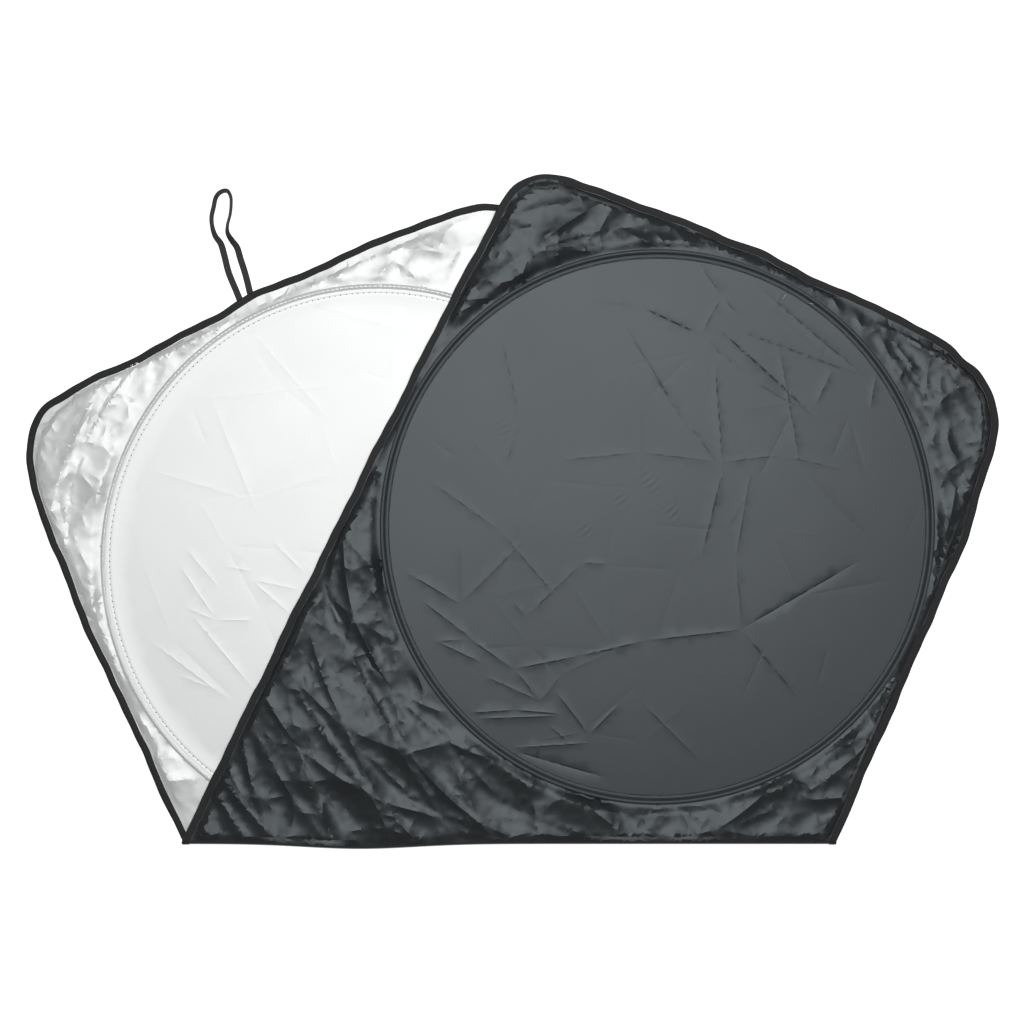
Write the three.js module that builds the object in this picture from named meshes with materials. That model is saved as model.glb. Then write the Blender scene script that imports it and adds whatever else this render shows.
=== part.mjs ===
// A windscreen sunshade of the twist-and-fold kind, laid on a flat surface and folded once across its middle.
// One sheet of coated cloth, silver on one face and black on the other, is held out by two round hoops of spring
// wire. Each hoop lies in a tape casing sewn to the black face. Inside a hoop the cloth is taut, and outside it the
// cloth is slack and creased. A tape binds the edge all round, and an elastic loop is sewn under the binding.
// The lower half lies silver side up. The upper half is turned over the fold, so it lies black side up.
// Units are millimetres. +Z is up, Y runs away from the fold, and the floor is Z = 0.
import * as THREE from "three";

// The cut of the cloth, given by each half's two side edges as they leave the ends of the fold
const foldLength = 795;
const foldX = -3.6;
const foldY = -404;
const foldBulge = 6;
const foldBulgeX = -185;
const foldBulgeWidth = 95;
const lowerLeftSide = { length: 560, lean: 113.9, bow: 2 };
const lowerRightSide = { length: 890, lean: 115.6, bow: 3 };
const upperLeftSide = { length: 931, lean: 63.5, bow: 4 };
const upperRightSide = { length: 608, lean: 67.5, bow: 7 };
const outerCornerRadius = 128;
const innerCornerRadius = 92;
const tightCornerRadius = 76;
const lowerEndBow = 5;
const upperEndBow = 11;

// Cloth, tapes and seams
const clothThickness = 0.6;
const tapeThickness = 0.5;
const seamGap = 0.3;
const bindingWidth = 8;
const bindingMargin = 0.7;

// Hoops of spring wire, with the sleeve that joins each wire's ends, and their casings
const lowerHoopRise = 340.4;
const upperHoopRise = 382.4;
const hoopMargin = 15;
const foldMargin = 5.4;
const wireDiameter = 1.9;
const sleeveClearance = 0.2;
const sleeveWall = 0.35;
const sleeveLength = 18;
const casingSeamWidth = 5;
const casingShoulder = 1.3;
const casingRunIn = 2.1;
const casingReach = 0.8;

// How the folded sheet lies
const bendRadius = 3.6;
const foldLift = 2.8;
const upperHoopLift = 9.9;
const upperHoopDrop = 4.2;
const coveredHeight = 4.6;
const flapHeight = 7.4;
const looseHeight = 1.1;
const coverMargin = 12;
const coverRun = 52;
const stepRun = 70;
const restGap = 0.05;

// Folds of the slack cloth: long ones that lie along the hoop, and short ones over them
const creaseHeight = 12;
const longPitch = 42;
const longStretch = 0.42;
const shortPitch = 25;
const shortShare = 0.24;
const shortSeed = 8;
const slackMargin = 12;
const pointGap = 11;
const heightContrast = { low: 0.2, high: 0.8, share: 0.7 };
const nodeOffset = 0.62;
const ringCalm = 9;
const edgeCalm = 12;
const foldCalm = 12;
const coveredSlack = 0.3;
const rimRun = 52;
const edgeLift = 3.2;
const edgePitch = 170;
const edgeSlant = 1.7;
const flapShare = 0.4;
const mostLift = 26;
const lowerSeamAngle = -90;
const upperSeamAngle = 153.5;

// Elastic loop
const strapWidth = 8;
const strapThickness = 1;
const strapRoll = 58;
const rollStart = 0.42;
const rollEnd = 0.72;
const strapShare = 0.589;
const strapCover = 45;

// How finely the sheet is faceted
const borderStep = 34;
const hoopStations = 60;
const wireSides = 6;
const sleeveSides = 10;
const bendSteps = 4;
const strapSteps = 44;
const circleSlack = 0.1;

const halfCloth = clothThickness / 2;
const bindingInner = halfCloth + seamGap;
const bindingOuter = bindingInner + tapeThickness;
const rowInset = bindingWidth + bindingMargin;
const sleeveInner = wireDiameter / 2 + sleeveClearance;
const sleeveOuter = sleeveInner + sleeveWall;
const channelRadius = sleeveOuter + seamGap;
const casingBase = halfCloth + seamGap;
const wireLift = casingBase + tapeThickness + channelRadius;
const casingHeight = wireLift + channelRadius + tapeThickness;

const black = new THREE.Color(0x2b2d2f);
const silver = new THREE.Color(0xc9cbcc);

const rowShare = Math.sqrt(3) / 2;
const clamp = THREE.MathUtils.clamp;
const smooth = THREE.MathUtils.smoothstep;
const mix = THREE.MathUtils.lerp;
const polar = (degrees, length) =>
  new THREE.Vector2(length, 0).rotateAround(new THREE.Vector2(), THREE.MathUtils.degToRad(degrees));

// The fold's outermost line, pushed out where the lower hoop bears on it
function foldLine(x) {
  return foldY + bendRadius - foldBulge * Math.exp(-(((x - foldBulgeX) / foldBulgeWidth) ** 2));
}

const foldLeft = new THREE.Vector2(foldX - foldLength / 2, 0);
foldLeft.y = foldLine(foldLeft.x);
const foldRight = new THREE.Vector2(foldX + foldLength / 2, 0);
foldRight.y = foldLine(foldRight.x);

// One half's free edge, from the right end of the fold round to the left end
function freeEdge(leftSide, rightSide, leftRadius, rightRadius, endBow) {
  const leftCorner = foldLeft.clone().add(polar(leftSide.lean, leftSide.length));
  const rightCorner = foldRight.clone().add(polar(rightSide.lean, rightSide.length));
  const end = leftCorner.clone().sub(rightCorner).normalize();
  const outward = new THREE.Vector2(end.y, -end.x);
  const rightIn = rightCorner.clone().add(polar(rightSide.lean, -rightRadius));
  const rightOut = rightCorner.clone().addScaledVector(end, rightRadius);
  const leftIn = leftCorner.clone().addScaledVector(end, -leftRadius);
  const leftOut = leftCorner.clone().add(polar(leftSide.lean, -leftRadius));
  const bow = rightOut.clone().add(leftIn).multiplyScalar(0.5).addScaledVector(outward, 2 * endBow);
  const path = new THREE.Path();
  const rightBow = foldRight.clone().add(rightIn).multiplyScalar(0.5);
  rightBow.add(polar(rightSide.lean - 90, 2 * rightSide.bow));
  const leftBow = foldLeft.clone().add(leftOut).multiplyScalar(0.5);
  leftBow.add(polar(leftSide.lean + 90, 2 * leftSide.bow));
  path.moveTo(foldRight.x, foldRight.y);
  path.quadraticCurveTo(rightBow.x, rightBow.y, rightIn.x, rightIn.y);
  path.quadraticCurveTo(rightCorner.x, rightCorner.y, rightOut.x, rightOut.y);
  path.quadraticCurveTo(bow.x, bow.y, leftIn.x, leftIn.y);
  path.quadraticCurveTo(leftCorner.x, leftCorner.y, leftOut.x, leftOut.y);
  path.quadraticCurveTo(leftBow.x, leftBow.y, foldLeft.x, foldLeft.y);
  return path.getSpacedPoints(Math.round(path.getLength() / borderStep));
}

const lowerEdge = freeEdge(lowerLeftSide, lowerRightSide, outerCornerRadius, innerCornerRadius, lowerEndBow);
const upperEdge = freeEdge(upperLeftSide, upperRightSide, tightCornerRadius, outerCornerRadius, upperEndBow);

// A hoop lies midway between its half's side edges, at its own distance from the fold
function hoopCentre(leftSide, rightSide, rise) {
  const y = foldLeft.y + rise;
  const left = foldLeft.clone().add(polar(leftSide.lean, rise / polar(leftSide.lean, 1).y));
  const right = foldRight.clone().add(polar(rightSide.lean, (y - foldRight.y) / polar(rightSide.lean, 1).y));
  const leftShare = polar(leftSide.lean, 1).y;
  const rightShare = polar(rightSide.lean, 1).y;
  return new THREE.Vector2((left.x * leftShare + right.x * rightShare) / (leftShare + rightShare), y);
}

const lowerHoopCentre = hoopCentre(lowerLeftSide, lowerRightSide, lowerHoopRise);
const upperHoopCentre = hoopCentre(upperLeftSide, upperRightSide, upperHoopRise);

// Both hoops are alike, and as large as the nearest edge or the fold lets them be
const reachTo = (edge, centre) => Math.min(...edge.map((point) => point.distanceTo(centre)));
const hoopRadius = Math.min(
  reachTo(lowerEdge, lowerHoopCentre) - hoopMargin,
  reachTo(upperEdge, upperHoopCentre) - hoopMargin,
  Math.min(lowerHoopRise, upperHoopRise) - foldMargin,
);
const ringInner = hoopRadius - casingSeamWidth - bindingMargin;
const ringOuter = hoopRadius + channelRadius + casingReach + seamGap;

// The elastic is sewn to the lower half's edge, at a share of the way along it
const strapSegment = Math.floor(strapShare * (lowerEdge.length - 1));
const strapAlong = lowerEdge[strapSegment + 1].clone().sub(lowerEdge[strapSegment]);
const strapRoot = lowerEdge[strapSegment].clone();
strapRoot.addScaledVector(strapAlong, strapShare * (lowerEdge.length - 1) - strapSegment);
strapAlong.normalize();

// How far a point lies inside a convex outline; outside it the answer is negative
function depthInside(outline, point) {
  let depth = Infinity;
  outline.forEach((from, i) => {
    const to = outline[(i + 1) % outline.length];
    const along = to.clone().sub(from);
    const across = point.clone().sub(from);
    depth = Math.min(depth, along.cross(across) / along.length());
  });
  return depth;
}

// A repeatable number from 0 to 1 for each place in a grid
function spread(i, j, seed) {
  const turn = Math.sin(i * 12.9898 + j * 78.233 + seed * 37.719) * 43758.5453;
  return turn - Math.floor(turn);
}

// The uneven node of a three-way grid, with a height from 0 to 1 that is mostly low or high
function gridNode(i, j, pitch, seed) {
  const lift = spread(i, j, seed + 2);
  const x = (i + j / 2 + nodeOffset * (spread(i, j, seed) - 0.5)) * pitch;
  const y = (j + nodeOffset * (spread(i, j, seed + 1) - 0.5)) * pitch * rowShare;
  const { low, high, share } = heightContrast;
  return new THREE.Vector3(x, y, mix(lift, smooth(lift, low, high), share));
}

// Height of flat facets that meet in sharp creases between the nodes of an uneven grid
function facets(point, pitch, seed) {
  const row = Math.floor(point.y / (pitch * rowShare));
  const column = Math.floor((point.x - point.y / (2 * rowShare)) / pitch);
  const area = (a, b, c) => (b.x - a.x) * (c.y - a.y) - (b.y - a.y) * (c.x - a.x);
  let height = 0;
  for (const i of [column - 1, column, column + 1]) {
    for (const j of [row - 1, row, row + 1]) {
      const [near, right, far, left] = [[0, 0], [1, 0], [1, 1], [0, 1]].map(([a, b]) =>
        gridNode(i + a, j + b, pitch, seed),
      );
      for (const [a, b, c] of [[near, right, left], [right, far, left]]) {
        const s = area(point, b, c) / area(a, b, c);
        const t = area(a, point, c) / area(a, b, c);
        if (s >= 0 && t >= 0 && s + t <= 1) height = s * a.z + t * b.z + (1 - s - t) * c.z;
      }
    }
  }
  return height;
}

// A point laid out along the hoop, from the angle where the layout starts, and away from the hoop
function alongHoop(point, centre, seamAngle) {
  const away = point.clone().sub(centre);
  const turn = away.angle() - THREE.MathUtils.degToRad(seamAngle);
  const run = THREE.MathUtils.euclideanModulo(turn, 2 * Math.PI) * hoopRadius * longStretch;
  return new THREE.Vector2(run, away.length() - ringOuter);
}

// The way back from alongHoop; places off the layout give the hoop's centre
function fromHoop(laid, centre, seamAngle) {
  if (laid.x < 0 || laid.x > 2 * Math.PI * hoopRadius * longStretch) return centre;
  const turn = laid.x / (hoopRadius * longStretch) + THREE.MathUtils.degToRad(seamAngle);
  return new THREE.Vector2(Math.cos(turn), Math.sin(turn)).multiplyScalar(laid.y + ringOuter).add(centre);
}

// Folds of slack cloth, from 0 in a valley to 1 on a ridge
function crumple(point, centre, seamAngle, seed) {
  const long = facets(alongHoop(point, centre, seamAngle), longPitch, seed);
  return mix(long, facets(point, shortPitch, seed + shortSeed), shortShare);
}

// Whether a point is in a half's slack cloth, clear of the hoop, the binding and the fold by a margin
function isSlack(point, edge, centre, margin) {
  if (point.distanceTo(centre) < ringOuter + margin || point.y - foldLine(point.x) < margin) return false;
  return depthInside(edge, point) > rowInset + margin;
}

// One half of the sheet as it lies: its outline, its hoop and the height of its cloth at any point
function makeHalf(plan) {
  const { edge, centre, hoopPlane, edgeHeight, foldHeight, slack, floor, ceiling, seamAngle, seed } = plan;
  const outline = edge.map((p) => p.clone());
  const height = (point) => {
    const fromRing = Math.max(point.distanceTo(centre) - ringOuter, 0);
    const fromEdge = Math.max(depthInside(outline, point) - rowInset, 0);
    const fromFold = Math.max(point.y - foldLine(point.x), 0);
    const share = fromEdge / (fromEdge + fromRing + 1e-6);
    const rim = mix(foldHeight, edgeHeight(point), smooth(fromFold, 0, rimRun));
    const calms = [fromRing / ringCalm, fromEdge / edgeCalm, fromFold / foldCalm];
    const calm = calms.reduce((product, value) => product * clamp(value, 0, 1), 1);
    const rise = slack(point) * creaseHeight * crumple(point, centre, seamAngle, seed) * calm;
    return clamp(mix(rim, hoopPlane(point), share) + rise, floor(point), ceiling(point));
  };
  return { edge, centre, hoopPlane, foldHeight, height, seamAngle, seed };
}

const wave = (point, shift) => {
  const run = (point.x + edgeSlant * point.y) / edgePitch;
  return (1 + Math.sin(run * Math.PI + shift)) / 2;
};
const strapRise = (point) => Math.exp(-((point.distanceTo(strapRoot) / strapCover) ** 4));
const covered = (point) => smooth(depthInside(upperEdge, point), -coverRun, -coverMargin);
const overLower = (point) => smooth(depthInside(lowerEdge, point), -stepRun, -coverMargin);

const lowerHalf = makeHalf({
  edge: lowerEdge,
  centre: lowerHoopCentre,
  hoopPlane: () => casingHeight,
  edgeHeight: (p) => bindingOuter + restGap + strapRise(p) * (strapThickness + seamGap + 2 * restGap)
    + edgeLift * wave(p, 1) * (1 - covered(p)) * (1 - strapRise(p)),
  foldHeight: foldLift,
  slack: (p) => mix(1, coveredSlack, covered(p)),
  floor: () => looseHeight,
  ceiling: (p) => mix(mostLift, coveredHeight, covered(p)),
  seamAngle: lowerSeamAngle,
  seed: 3,
});

const upperHalf = makeHalf({
  edge: upperEdge,
  centre: upperHoopCentre,
  hoopPlane: (p) => {
    const across = (p.x - upperHoopCentre.x + hoopRadius) / (2 * hoopRadius);
    return upperHoopLift - upperHoopDrop * across;
  },
  edgeHeight: (p) => {
    const low = bindingOuter + restGap + edgeLift * wave(p, 3);
    return mix(low, flapHeight + flapShare * edgeLift * wave(p, 4), overLower(p));
  },
  foldHeight: foldLift + 2 * bendRadius,
  slack: () => 1,
  floor: (p) => mix(looseHeight, flapHeight, overLower(p)),
  ceiling: () => mostLift,
  seamAngle: upperSeamAngle,
  seed: 11,
});

// Delaunay triangles of a set of points in the plane, each as three indices in counter-clockwise order
function delaunay(points) {
  const span = 10 * foldLength;
  const outside = [[-span, -span], [span, -span], [0, span]].map(([x, y]) => new THREE.Vector2(x, y));
  const all = [...points, ...outside];
  const insideCircle = (triangle, p) => {
    const [a, b, c] = triangle.map((i) => ({ x: all[i].x - p.x, y: all[i].y - p.y }));
    const aa = a.x * a.x + a.y * a.y;
    const bb = b.x * b.x + b.y * b.y;
    const cc = c.x * c.x + c.y * c.y;
    const inside = a.x * (b.y * cc - bb * c.y) - a.y * (b.x * cc - bb * c.x) + aa * (b.x * c.y - b.y * c.x);
    return inside > circleSlack;
  };
  let triangles = [[points.length, points.length + 1, points.length + 2]];
  points.forEach((p, i) => {
    const rim = new Map();
    const kept = [];
    for (const triangle of triangles) {
      if (!insideCircle(triangle, p)) {
        kept.push(triangle);
        continue;
      }
      triangle.forEach((from, j) => {
        const to = triangle[(j + 1) % 3];
        if (!rim.delete(to + "," + from)) rim.set(from + "," + to, [from, to]);
      });
    }
    triangles = kept.concat([...rim.values()].map(([from, to]) => [from, to, i]));
  });
  return triangles.filter((triangle) => Math.max(...triangle) < points.length);
}

// Whether a point lies within a closed outline of any shape
function holds(outline, point) {
  let inside = false;
  outline.forEach((from, i) => {
    const to = outline[(i + 1) % outline.length];
    if (from.y > point.y === to.y > point.y) return;
    if (point.x < mix(from.x, to.x, (point.y - from.y) / (to.y - from.y))) inside = !inside;
  });
  return inside;
}

const ringPoint = (centre, radius, i, count) => {
  const angle = (2 * Math.PI * i) / count;
  return new THREE.Vector2(centre.x + radius * Math.cos(angle), centre.y + radius * Math.sin(angle));
};
const ringOf = (centre, radius, count) =>
  Array.from({ length: count }, (_, i) => ringPoint(centre, radius, i, count));

// Where the cloth lies under the inner edge of the binding, one point for each point of the free edge
function seamRow(edge) {
  return edge.map((point, i) => {
    if (i === 0) return new THREE.Vector2(point.x - rowInset, foldLine(point.x - rowInset));
    if (i === edge.length - 1) return new THREE.Vector2(point.x + rowInset, foldLine(point.x + rowInset));
    const along = edge[i + 1].clone().sub(edge[i - 1]).normalize();
    return new THREE.Vector2(point.x - along.y * rowInset, point.y + along.x * rowInset);
  });
}

// Stations along the fold, from right to left, between the two seam rows
function foldStations() {
  const from = foldRight.x - rowInset;
  const to = foldLeft.x + rowInset;
  const count = Math.round((from - to) / borderStep);
  return Array.from({ length: count - 1 }, (_, i) => mix(from, to, (i + 1) / count));
}
const foldRow = foldStations();

// The middle surface of the sheet: points in space, and triangles that face the silver side
const sheetPoints = [];
const sheetFaces = [];
const addPoint = (x, y, z) => sheetPoints.push(new THREE.Vector3(x, y, z)) - 1;
const addStrip = (a, b, turned) => {
  for (let i = 0; i + 1 < a.length; i++) {
    const faces = [[a[i], b[i], b[i + 1]], [a[i], b[i + 1], a[i + 1]]];
    faces.forEach((f) => sheetFaces.push(turned ? f.reverse() : f));
  }
};

function layHalf(half, turned) {
  const seam = seamRow(half.edge);
  const outer = [...seam, ...foldRow.map((x) => new THREE.Vector2(x, foldLine(x))).reverse()];
  const ring = ringOf(half.centre, ringOuter, hoopStations);
  const slackPoints = [...outer, ...ring];
  const addNodes = (pitch, seed, place) => {
    const rows = Math.ceil((2 * foldLength) / pitch);
    for (let row = -rows; row <= rows; row++) {
      for (let column = -rows; column <= rows; column++) {
        const p = place(gridNode(column, row, pitch, seed));
        if (!isSlack(p, half.edge, half.centre, slackMargin)) continue;
        if (slackPoints.every((other) => other.distanceTo(p) > pointGap)) slackPoints.push(p);
      }
    }
  };
  addNodes(longPitch, half.seed, (node) => fromHoop(node, half.centre, half.seamAngle));
  addNodes(shortPitch, half.seed + shortSeed, (node) => new THREE.Vector2(node.x, node.y));
  const firstRing = outer.length;
  const slackHeight = (p, i) => {
    if (i >= firstRing && i < firstRing + hoopStations) return half.hoopPlane(p);
    return i >= seam.length && i < firstRing ? half.foldHeight : half.height(p);
  };
  const ids = slackPoints.map((p, i) => addPoint(p.x, p.y, slackHeight(p, i)));
  const hub = slackPoints.length;
  for (const t of delaunay([...slackPoints, half.centre])) {
    const middle = new THREE.Vector2();
    t.forEach((i) => middle.addScaledVector(slackPoints[i] ?? half.centre, 1 / 3));
    if (t.includes(hub) || !holds(outer, middle)) continue;
    sheetFaces.push(turned ? [ids[t[0]], ids[t[2]], ids[t[1]]] : t.map((i) => ids[i]));
  }
  const onPlane = (p) => addPoint(p.x, p.y, half.hoopPlane(p));
  const discPoints = [
    ...ringOf(half.centre, ringInner, hoopStations),
    ...ringOf(half.centre, (hoopRadius * 2) / 3, hoopStations / 3),
    ...ringOf(half.centre, hoopRadius / 3, hoopStations / 6),
    half.centre,
  ];
  const discIds = discPoints.map(onPlane);
  for (const t of delaunay(discPoints)) {
    sheetFaces.push(turned ? [discIds[t[0]], discIds[t[2]], discIds[t[1]]] : t.map((i) => discIds[i]));
  }
  const ringIds = ids.slice(firstRing, firstRing + hoopStations);
  const innerIds = discIds.slice(0, hoopStations);
  addStrip([...ringIds, ringIds[0]], [...innerIds, innerIds[0]], !turned);
  const edgeIds = half.edge.map((p, i) => {
    const atFold = i === 0 || i === half.edge.length - 1;
    return addPoint(p.x, p.y, atFold ? half.foldHeight : half.height(p));
  });
  const seamIds = ids.slice(0, seam.length);
  seamIds.forEach((id, i) => (sheetPoints[id].z = sheetPoints[edgeIds[i]].z));
  addStrip(edgeIds, seamIds, !turned);
  const foldIds = ids.slice(seam.length, firstRing).reverse();
  return { edgeIds, seamIds, foldIds: [edgeIds[0], seamIds[0], ...foldIds, seamIds.at(-1), edgeIds.at(-1)] };
}

const lower = layHalf(lowerHalf, false);
const upper = layHalf(upperHalf, true);

// The bend of the fold, in rows from the lower half to the upper half
const bendRows = [lower.foldIds];
for (let step = 1; step < bendSteps; step++) {
  const angle = (Math.PI * step) / bendSteps;
  bendRows.push(
    lower.foldIds.map((id) => {
      const p = sheetPoints[id];
      return addPoint(p.x, p.y - bendRadius * Math.sin(angle), p.z + bendRadius * (1 - Math.cos(angle)));
    }),
  );
}
bendRows.push(upper.foldIds);
for (let i = 0; i < bendSteps; i++) addStrip(bendRows[i], bendRows[i + 1], true);

// The closed run of the sheet's edge, with the point beside each one under the binding's inner edge
const innerBends = bendRows.slice(1, -1);
const edgeLoop = [
  ...lower.edgeIds,
  ...innerBends.map((row) => row.at(-1)),
  ...upper.edgeIds.slice().reverse(),
  ...innerBends.map((row) => row[0]).reverse(),
];
const seamLoop = [
  ...lower.seamIds,
  ...innerBends.map((row) => row.at(-2)),
  ...upper.seamIds.slice().reverse(),
  ...innerBends.map((row) => row[1]).reverse(),
];

function pointNormals() {
  const normals = sheetPoints.map(() => new THREE.Vector3());
  for (const [a, b, c] of sheetFaces) {
    const ab = sheetPoints[b].clone().sub(sheetPoints[a]);
    const ac = sheetPoints[c].clone().sub(sheetPoints[a]);
    const n = ab.cross(ac);
    [a, b, c].forEach((i) => normals[i].add(n));
  }
  return normals.map((n) => n.normalize());
}

function geometryOf(points, faces) {
  const geometry = new THREE.BufferGeometry();
  geometry.setAttribute("position", new THREE.Float32BufferAttribute(points.flatMap((p) => p.toArray()), 3));
  geometry.setIndex(faces.flat());
  return geometry;
}

function clothGeometry() {
  const normals = pointNormals();
  const count = sheetPoints.length;
  const silverFace = sheetPoints.map((p, i) => p.clone().addScaledVector(normals[i], halfCloth));
  const blackFace = sheetPoints.map((p, i) => p.clone().addScaledVector(normals[i], -halfCloth));
  const faces = [...sheetFaces, ...sheetFaces.map(([a, b, c]) => [a + count, c + count, b + count])];
  edgeLoop.forEach((a, i) => {
    const b = edgeLoop[(i + 1) % edgeLoop.length];
    faces.push([b, a, a + count], [b, a + count, b + count]);
  });
  return geometryOf([...silverFace, ...blackFace], faces);
}

// Joins sections of equal point count into one skin; a closed run joins the last to the first
function sweep(sections, closed) {
  const size = sections[0].length;
  const faces = [];
  const last = closed ? sections.length : sections.length - 1;
  for (let i = 0; i < last; i++) {
    const next = ((i + 1) % sections.length) * size;
    for (let j = 0; j < size; j++) {
      const k = (j + 1) % size;
      faces.push([i * size + j, next + j, next + k], [i * size + j, next + k, i * size + k]);
    }
  }
  if (!closed) {
    const end = (sections.length - 1) * size;
    for (let j = 1; j + 1 < size; j++) faces.push([0, j, j + 1], [end, end + j + 1, end + j]);
  }
  return geometryOf(sections.flat(), faces);
}

// The binding is a tape folded over the edge of the cloth, with a leg on each face
function bindingGeometry() {
  const profile = [
    [-bindingWidth, bindingInner],
    [seamGap, bindingInner],
    [seamGap, -bindingInner],
    [-bindingWidth, -bindingInner],
    [-bindingWidth, -bindingOuter],
    [seamGap + tapeThickness, -bindingOuter],
    [seamGap + tapeThickness, bindingOuter],
    [-bindingWidth, bindingOuter],
  ];
  const sections = edgeLoop.map((id, i) => {
    const point = sheetPoints[id];
    const before = sheetPoints[edgeLoop[(i + edgeLoop.length - 1) % edgeLoop.length]];
    const after = sheetPoints[edgeLoop[(i + 1) % edgeLoop.length]];
    const outward = point.clone().sub(sheetPoints[seamLoop[i]]).normalize();
    const along = after.clone().sub(before).normalize();
    const normal = outward.clone().cross(along).normalize();
    return profile.map(([out, up]) =>
      point.clone().addScaledVector(outward, out).addScaledVector(normal, up),
    );
  });
  return sweep(sections, true);
}

// The casing is a tape folded round the wire, with both its edges in one seam on the inner side
function casingGeometry() {
  const top = casingHeight;
  const crown = channelRadius - tapeThickness;
  const ply = tapeThickness + seamGap;
  const outerRun = casingShoulder + casingRunIn;
  const section = [
    [-casingSeamWidth, casingBase],
    [casingShoulder, casingBase],
    [channelRadius + casingReach, wireLift],
    [casingShoulder, top],
    [-crown, top],
    [-outerRun, casingBase + ply + tapeThickness],
    [-casingSeamWidth, casingBase + ply + tapeThickness],
    [-casingSeamWidth, casingBase + ply],
    [-outerRun + seamGap, casingBase + ply],
    [-crown + seamGap, top - tapeThickness],
    [casingShoulder - seamGap, top - tapeThickness],
    [channelRadius + casingReach - tapeThickness, wireLift],
    [casingShoulder - seamGap, casingBase + tapeThickness],
    [-casingSeamWidth, casingBase + tapeThickness],
  ];
  const points = section.map(([out, up]) => new THREE.Vector2(hoopRadius + out, up));
  points.push(points[0].clone());
  return new THREE.LatheGeometry(points, hoopStations);
}

function sleeveGeometry() {
  const half = sleeveLength / 2;
  const points = [
    [sleeveInner, -half],
    [sleeveOuter, -half],
    [sleeveOuter, half],
    [sleeveInner, half],
    [sleeveInner, -half],
  ];
  return new THREE.LatheGeometry(points.map(([r, y]) => new THREE.Vector2(r, y)), sleeveSides);
}

// The elastic loop's centreline, seen from above: out from under the binding, round, and back.
// Each point gives the distance along the edge, and the distance out from it.
const strapRoute = [
  [8, -2], [7, 18], [6, 42], [2, 64], [0, 78], [2, 89], [1, 99], [-3, 111], [-11, 122], [-19, 132],
  [-27, 135], [-34, 133], [-35, 125], [-31, 115], [-25, 105], [-17, 95], [-13, 86], [-14, 76],
  [-16, 66], [-14, 51], [-12, 34], [-9, 17], [-6, 3],
].map(([along, out]) => {
  const outward = new THREE.Vector2(strapAlong.y, -strapAlong.x);
  return strapRoot.clone().addScaledVector(strapAlong, along).addScaledVector(outward, out);
});

// The elastic lies flat beside the binding and rolls on to its edge round the far end of the loop
function strapGeometry() {
  const route = strapRoute.map((point) => new THREE.Vector3(point.x, point.y, 0));
  const curve = new THREE.CatmullRomCurve3(route, false, "centripetal");
  const far = Math.max(...strapRoute.map((point) => point.y));
  const near = Math.min(...strapRoute.map((point) => point.y));
  const sections = Array.from({ length: strapSteps + 1 }, (_, i) => {
    const point = curve.getPointAt(i / strapSteps);
    const along = curve.getTangentAt(i / strapSteps);
    const rise = smooth(point.y, mix(near, far, rollStart), mix(near, far, rollEnd));
    const roll = THREE.MathUtils.degToRad(strapRoll) * rise;
    const flat = new THREE.Vector3(-along.y, along.x, 0).normalize();
    const across = flat.clone().multiplyScalar(Math.cos(roll)).add(new THREE.Vector3(0, 0, Math.sin(roll)));
    const face = across.clone().cross(along).normalize();
    point.z = (strapWidth / 2) * Math.sin(roll) + (strapThickness / 2) * Math.cos(roll) + restGap / 2;
    across.multiplyScalar(strapWidth / 2);
    face.multiplyScalar(strapThickness / 2);
    return [[-1, -1], [1, -1], [1, 1], [-1, 1]].map(([w, h]) =>
      point.clone().addScaledVector(across, w).addScaledVector(face, h),
    );
  });
  return sweep(sections, false);
}

function piece(name, geometry, colour, roughness, metalness) {
  const look = { color: colour, roughness, metalness, side: THREE.DoubleSide };
  const material = new THREE.MeshStandardMaterial(look);
  const mesh = new THREE.Mesh(geometry, material);
  mesh.name = name;
  return mesh;
}

// A hoop with its casing and sleeve, on the black side of its half of the cloth
function hoopGroup(name, half, blackUp) {
  const casing = piece(`${name}_hoop_casing`, casingGeometry(), black, 0.7, 0);
  casing.rotation.x = Math.PI / 2;
  const wire = piece(
    `${name}_hoop_wire`,
    new THREE.TorusGeometry(hoopRadius, wireDiameter / 2, wireSides, hoopStations),
    new THREE.Color(0x8d9094),
    0.35,
    1,
  );
  wire.position.z = wireLift;
  const sleeve = piece(`${name}_hoop_sleeve`, sleeveGeometry(), new THREE.Color(0xb4b7ba), 0.4, 1);
  const step = Math.PI / hoopStations;
  sleeve.position.set(0, -hoopRadius * Math.cos(step), wireLift);
  sleeve.position.applyAxisAngle(new THREE.Vector3(0, 0, 1), step);
  sleeve.rotation.z = Math.PI / 2 + step;
  const hoop = new THREE.Group();
  hoop.add(casing, wire, sleeve);
  const slope = half.hoopPlane(new THREE.Vector2(1, 0)) - half.hoopPlane(new THREE.Vector2(0, 0));
  hoop.rotation.set(blackUp ? 0 : Math.PI, -Math.atan(slope), 0);
  hoop.position.set(half.centre.x, half.centre.y, half.hoopPlane(half.centre));
  return hoop;
}

const sunshade = new THREE.Group();
sunshade.name = "windscreen_sunshade";
sunshade.add(
  piece("cloth", clothGeometry(), silver, 0.4, 0.5),
  piece("edge_binding", bindingGeometry(), black, 0.75, 0),
  hoopGroup("lower", lowerHalf, false),
  hoopGroup("upper", upperHalf, true),
  piece("elastic_loop", strapGeometry(), black, 0.8, 0),
);

// The origin lies on the floor, under the middle of the folded sheet
const extent = new THREE.Box3().setFromObject(sunshade, true);
sunshade.position.copy(extent.getCenter(new THREE.Vector3())).setZ(extent.min.z).negate();

export default sunshade;
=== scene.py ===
import math

import bpy
import numpy as np
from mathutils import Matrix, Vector, kdtree
from mathutils.geometry import delaunay_2d_cdt


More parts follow.
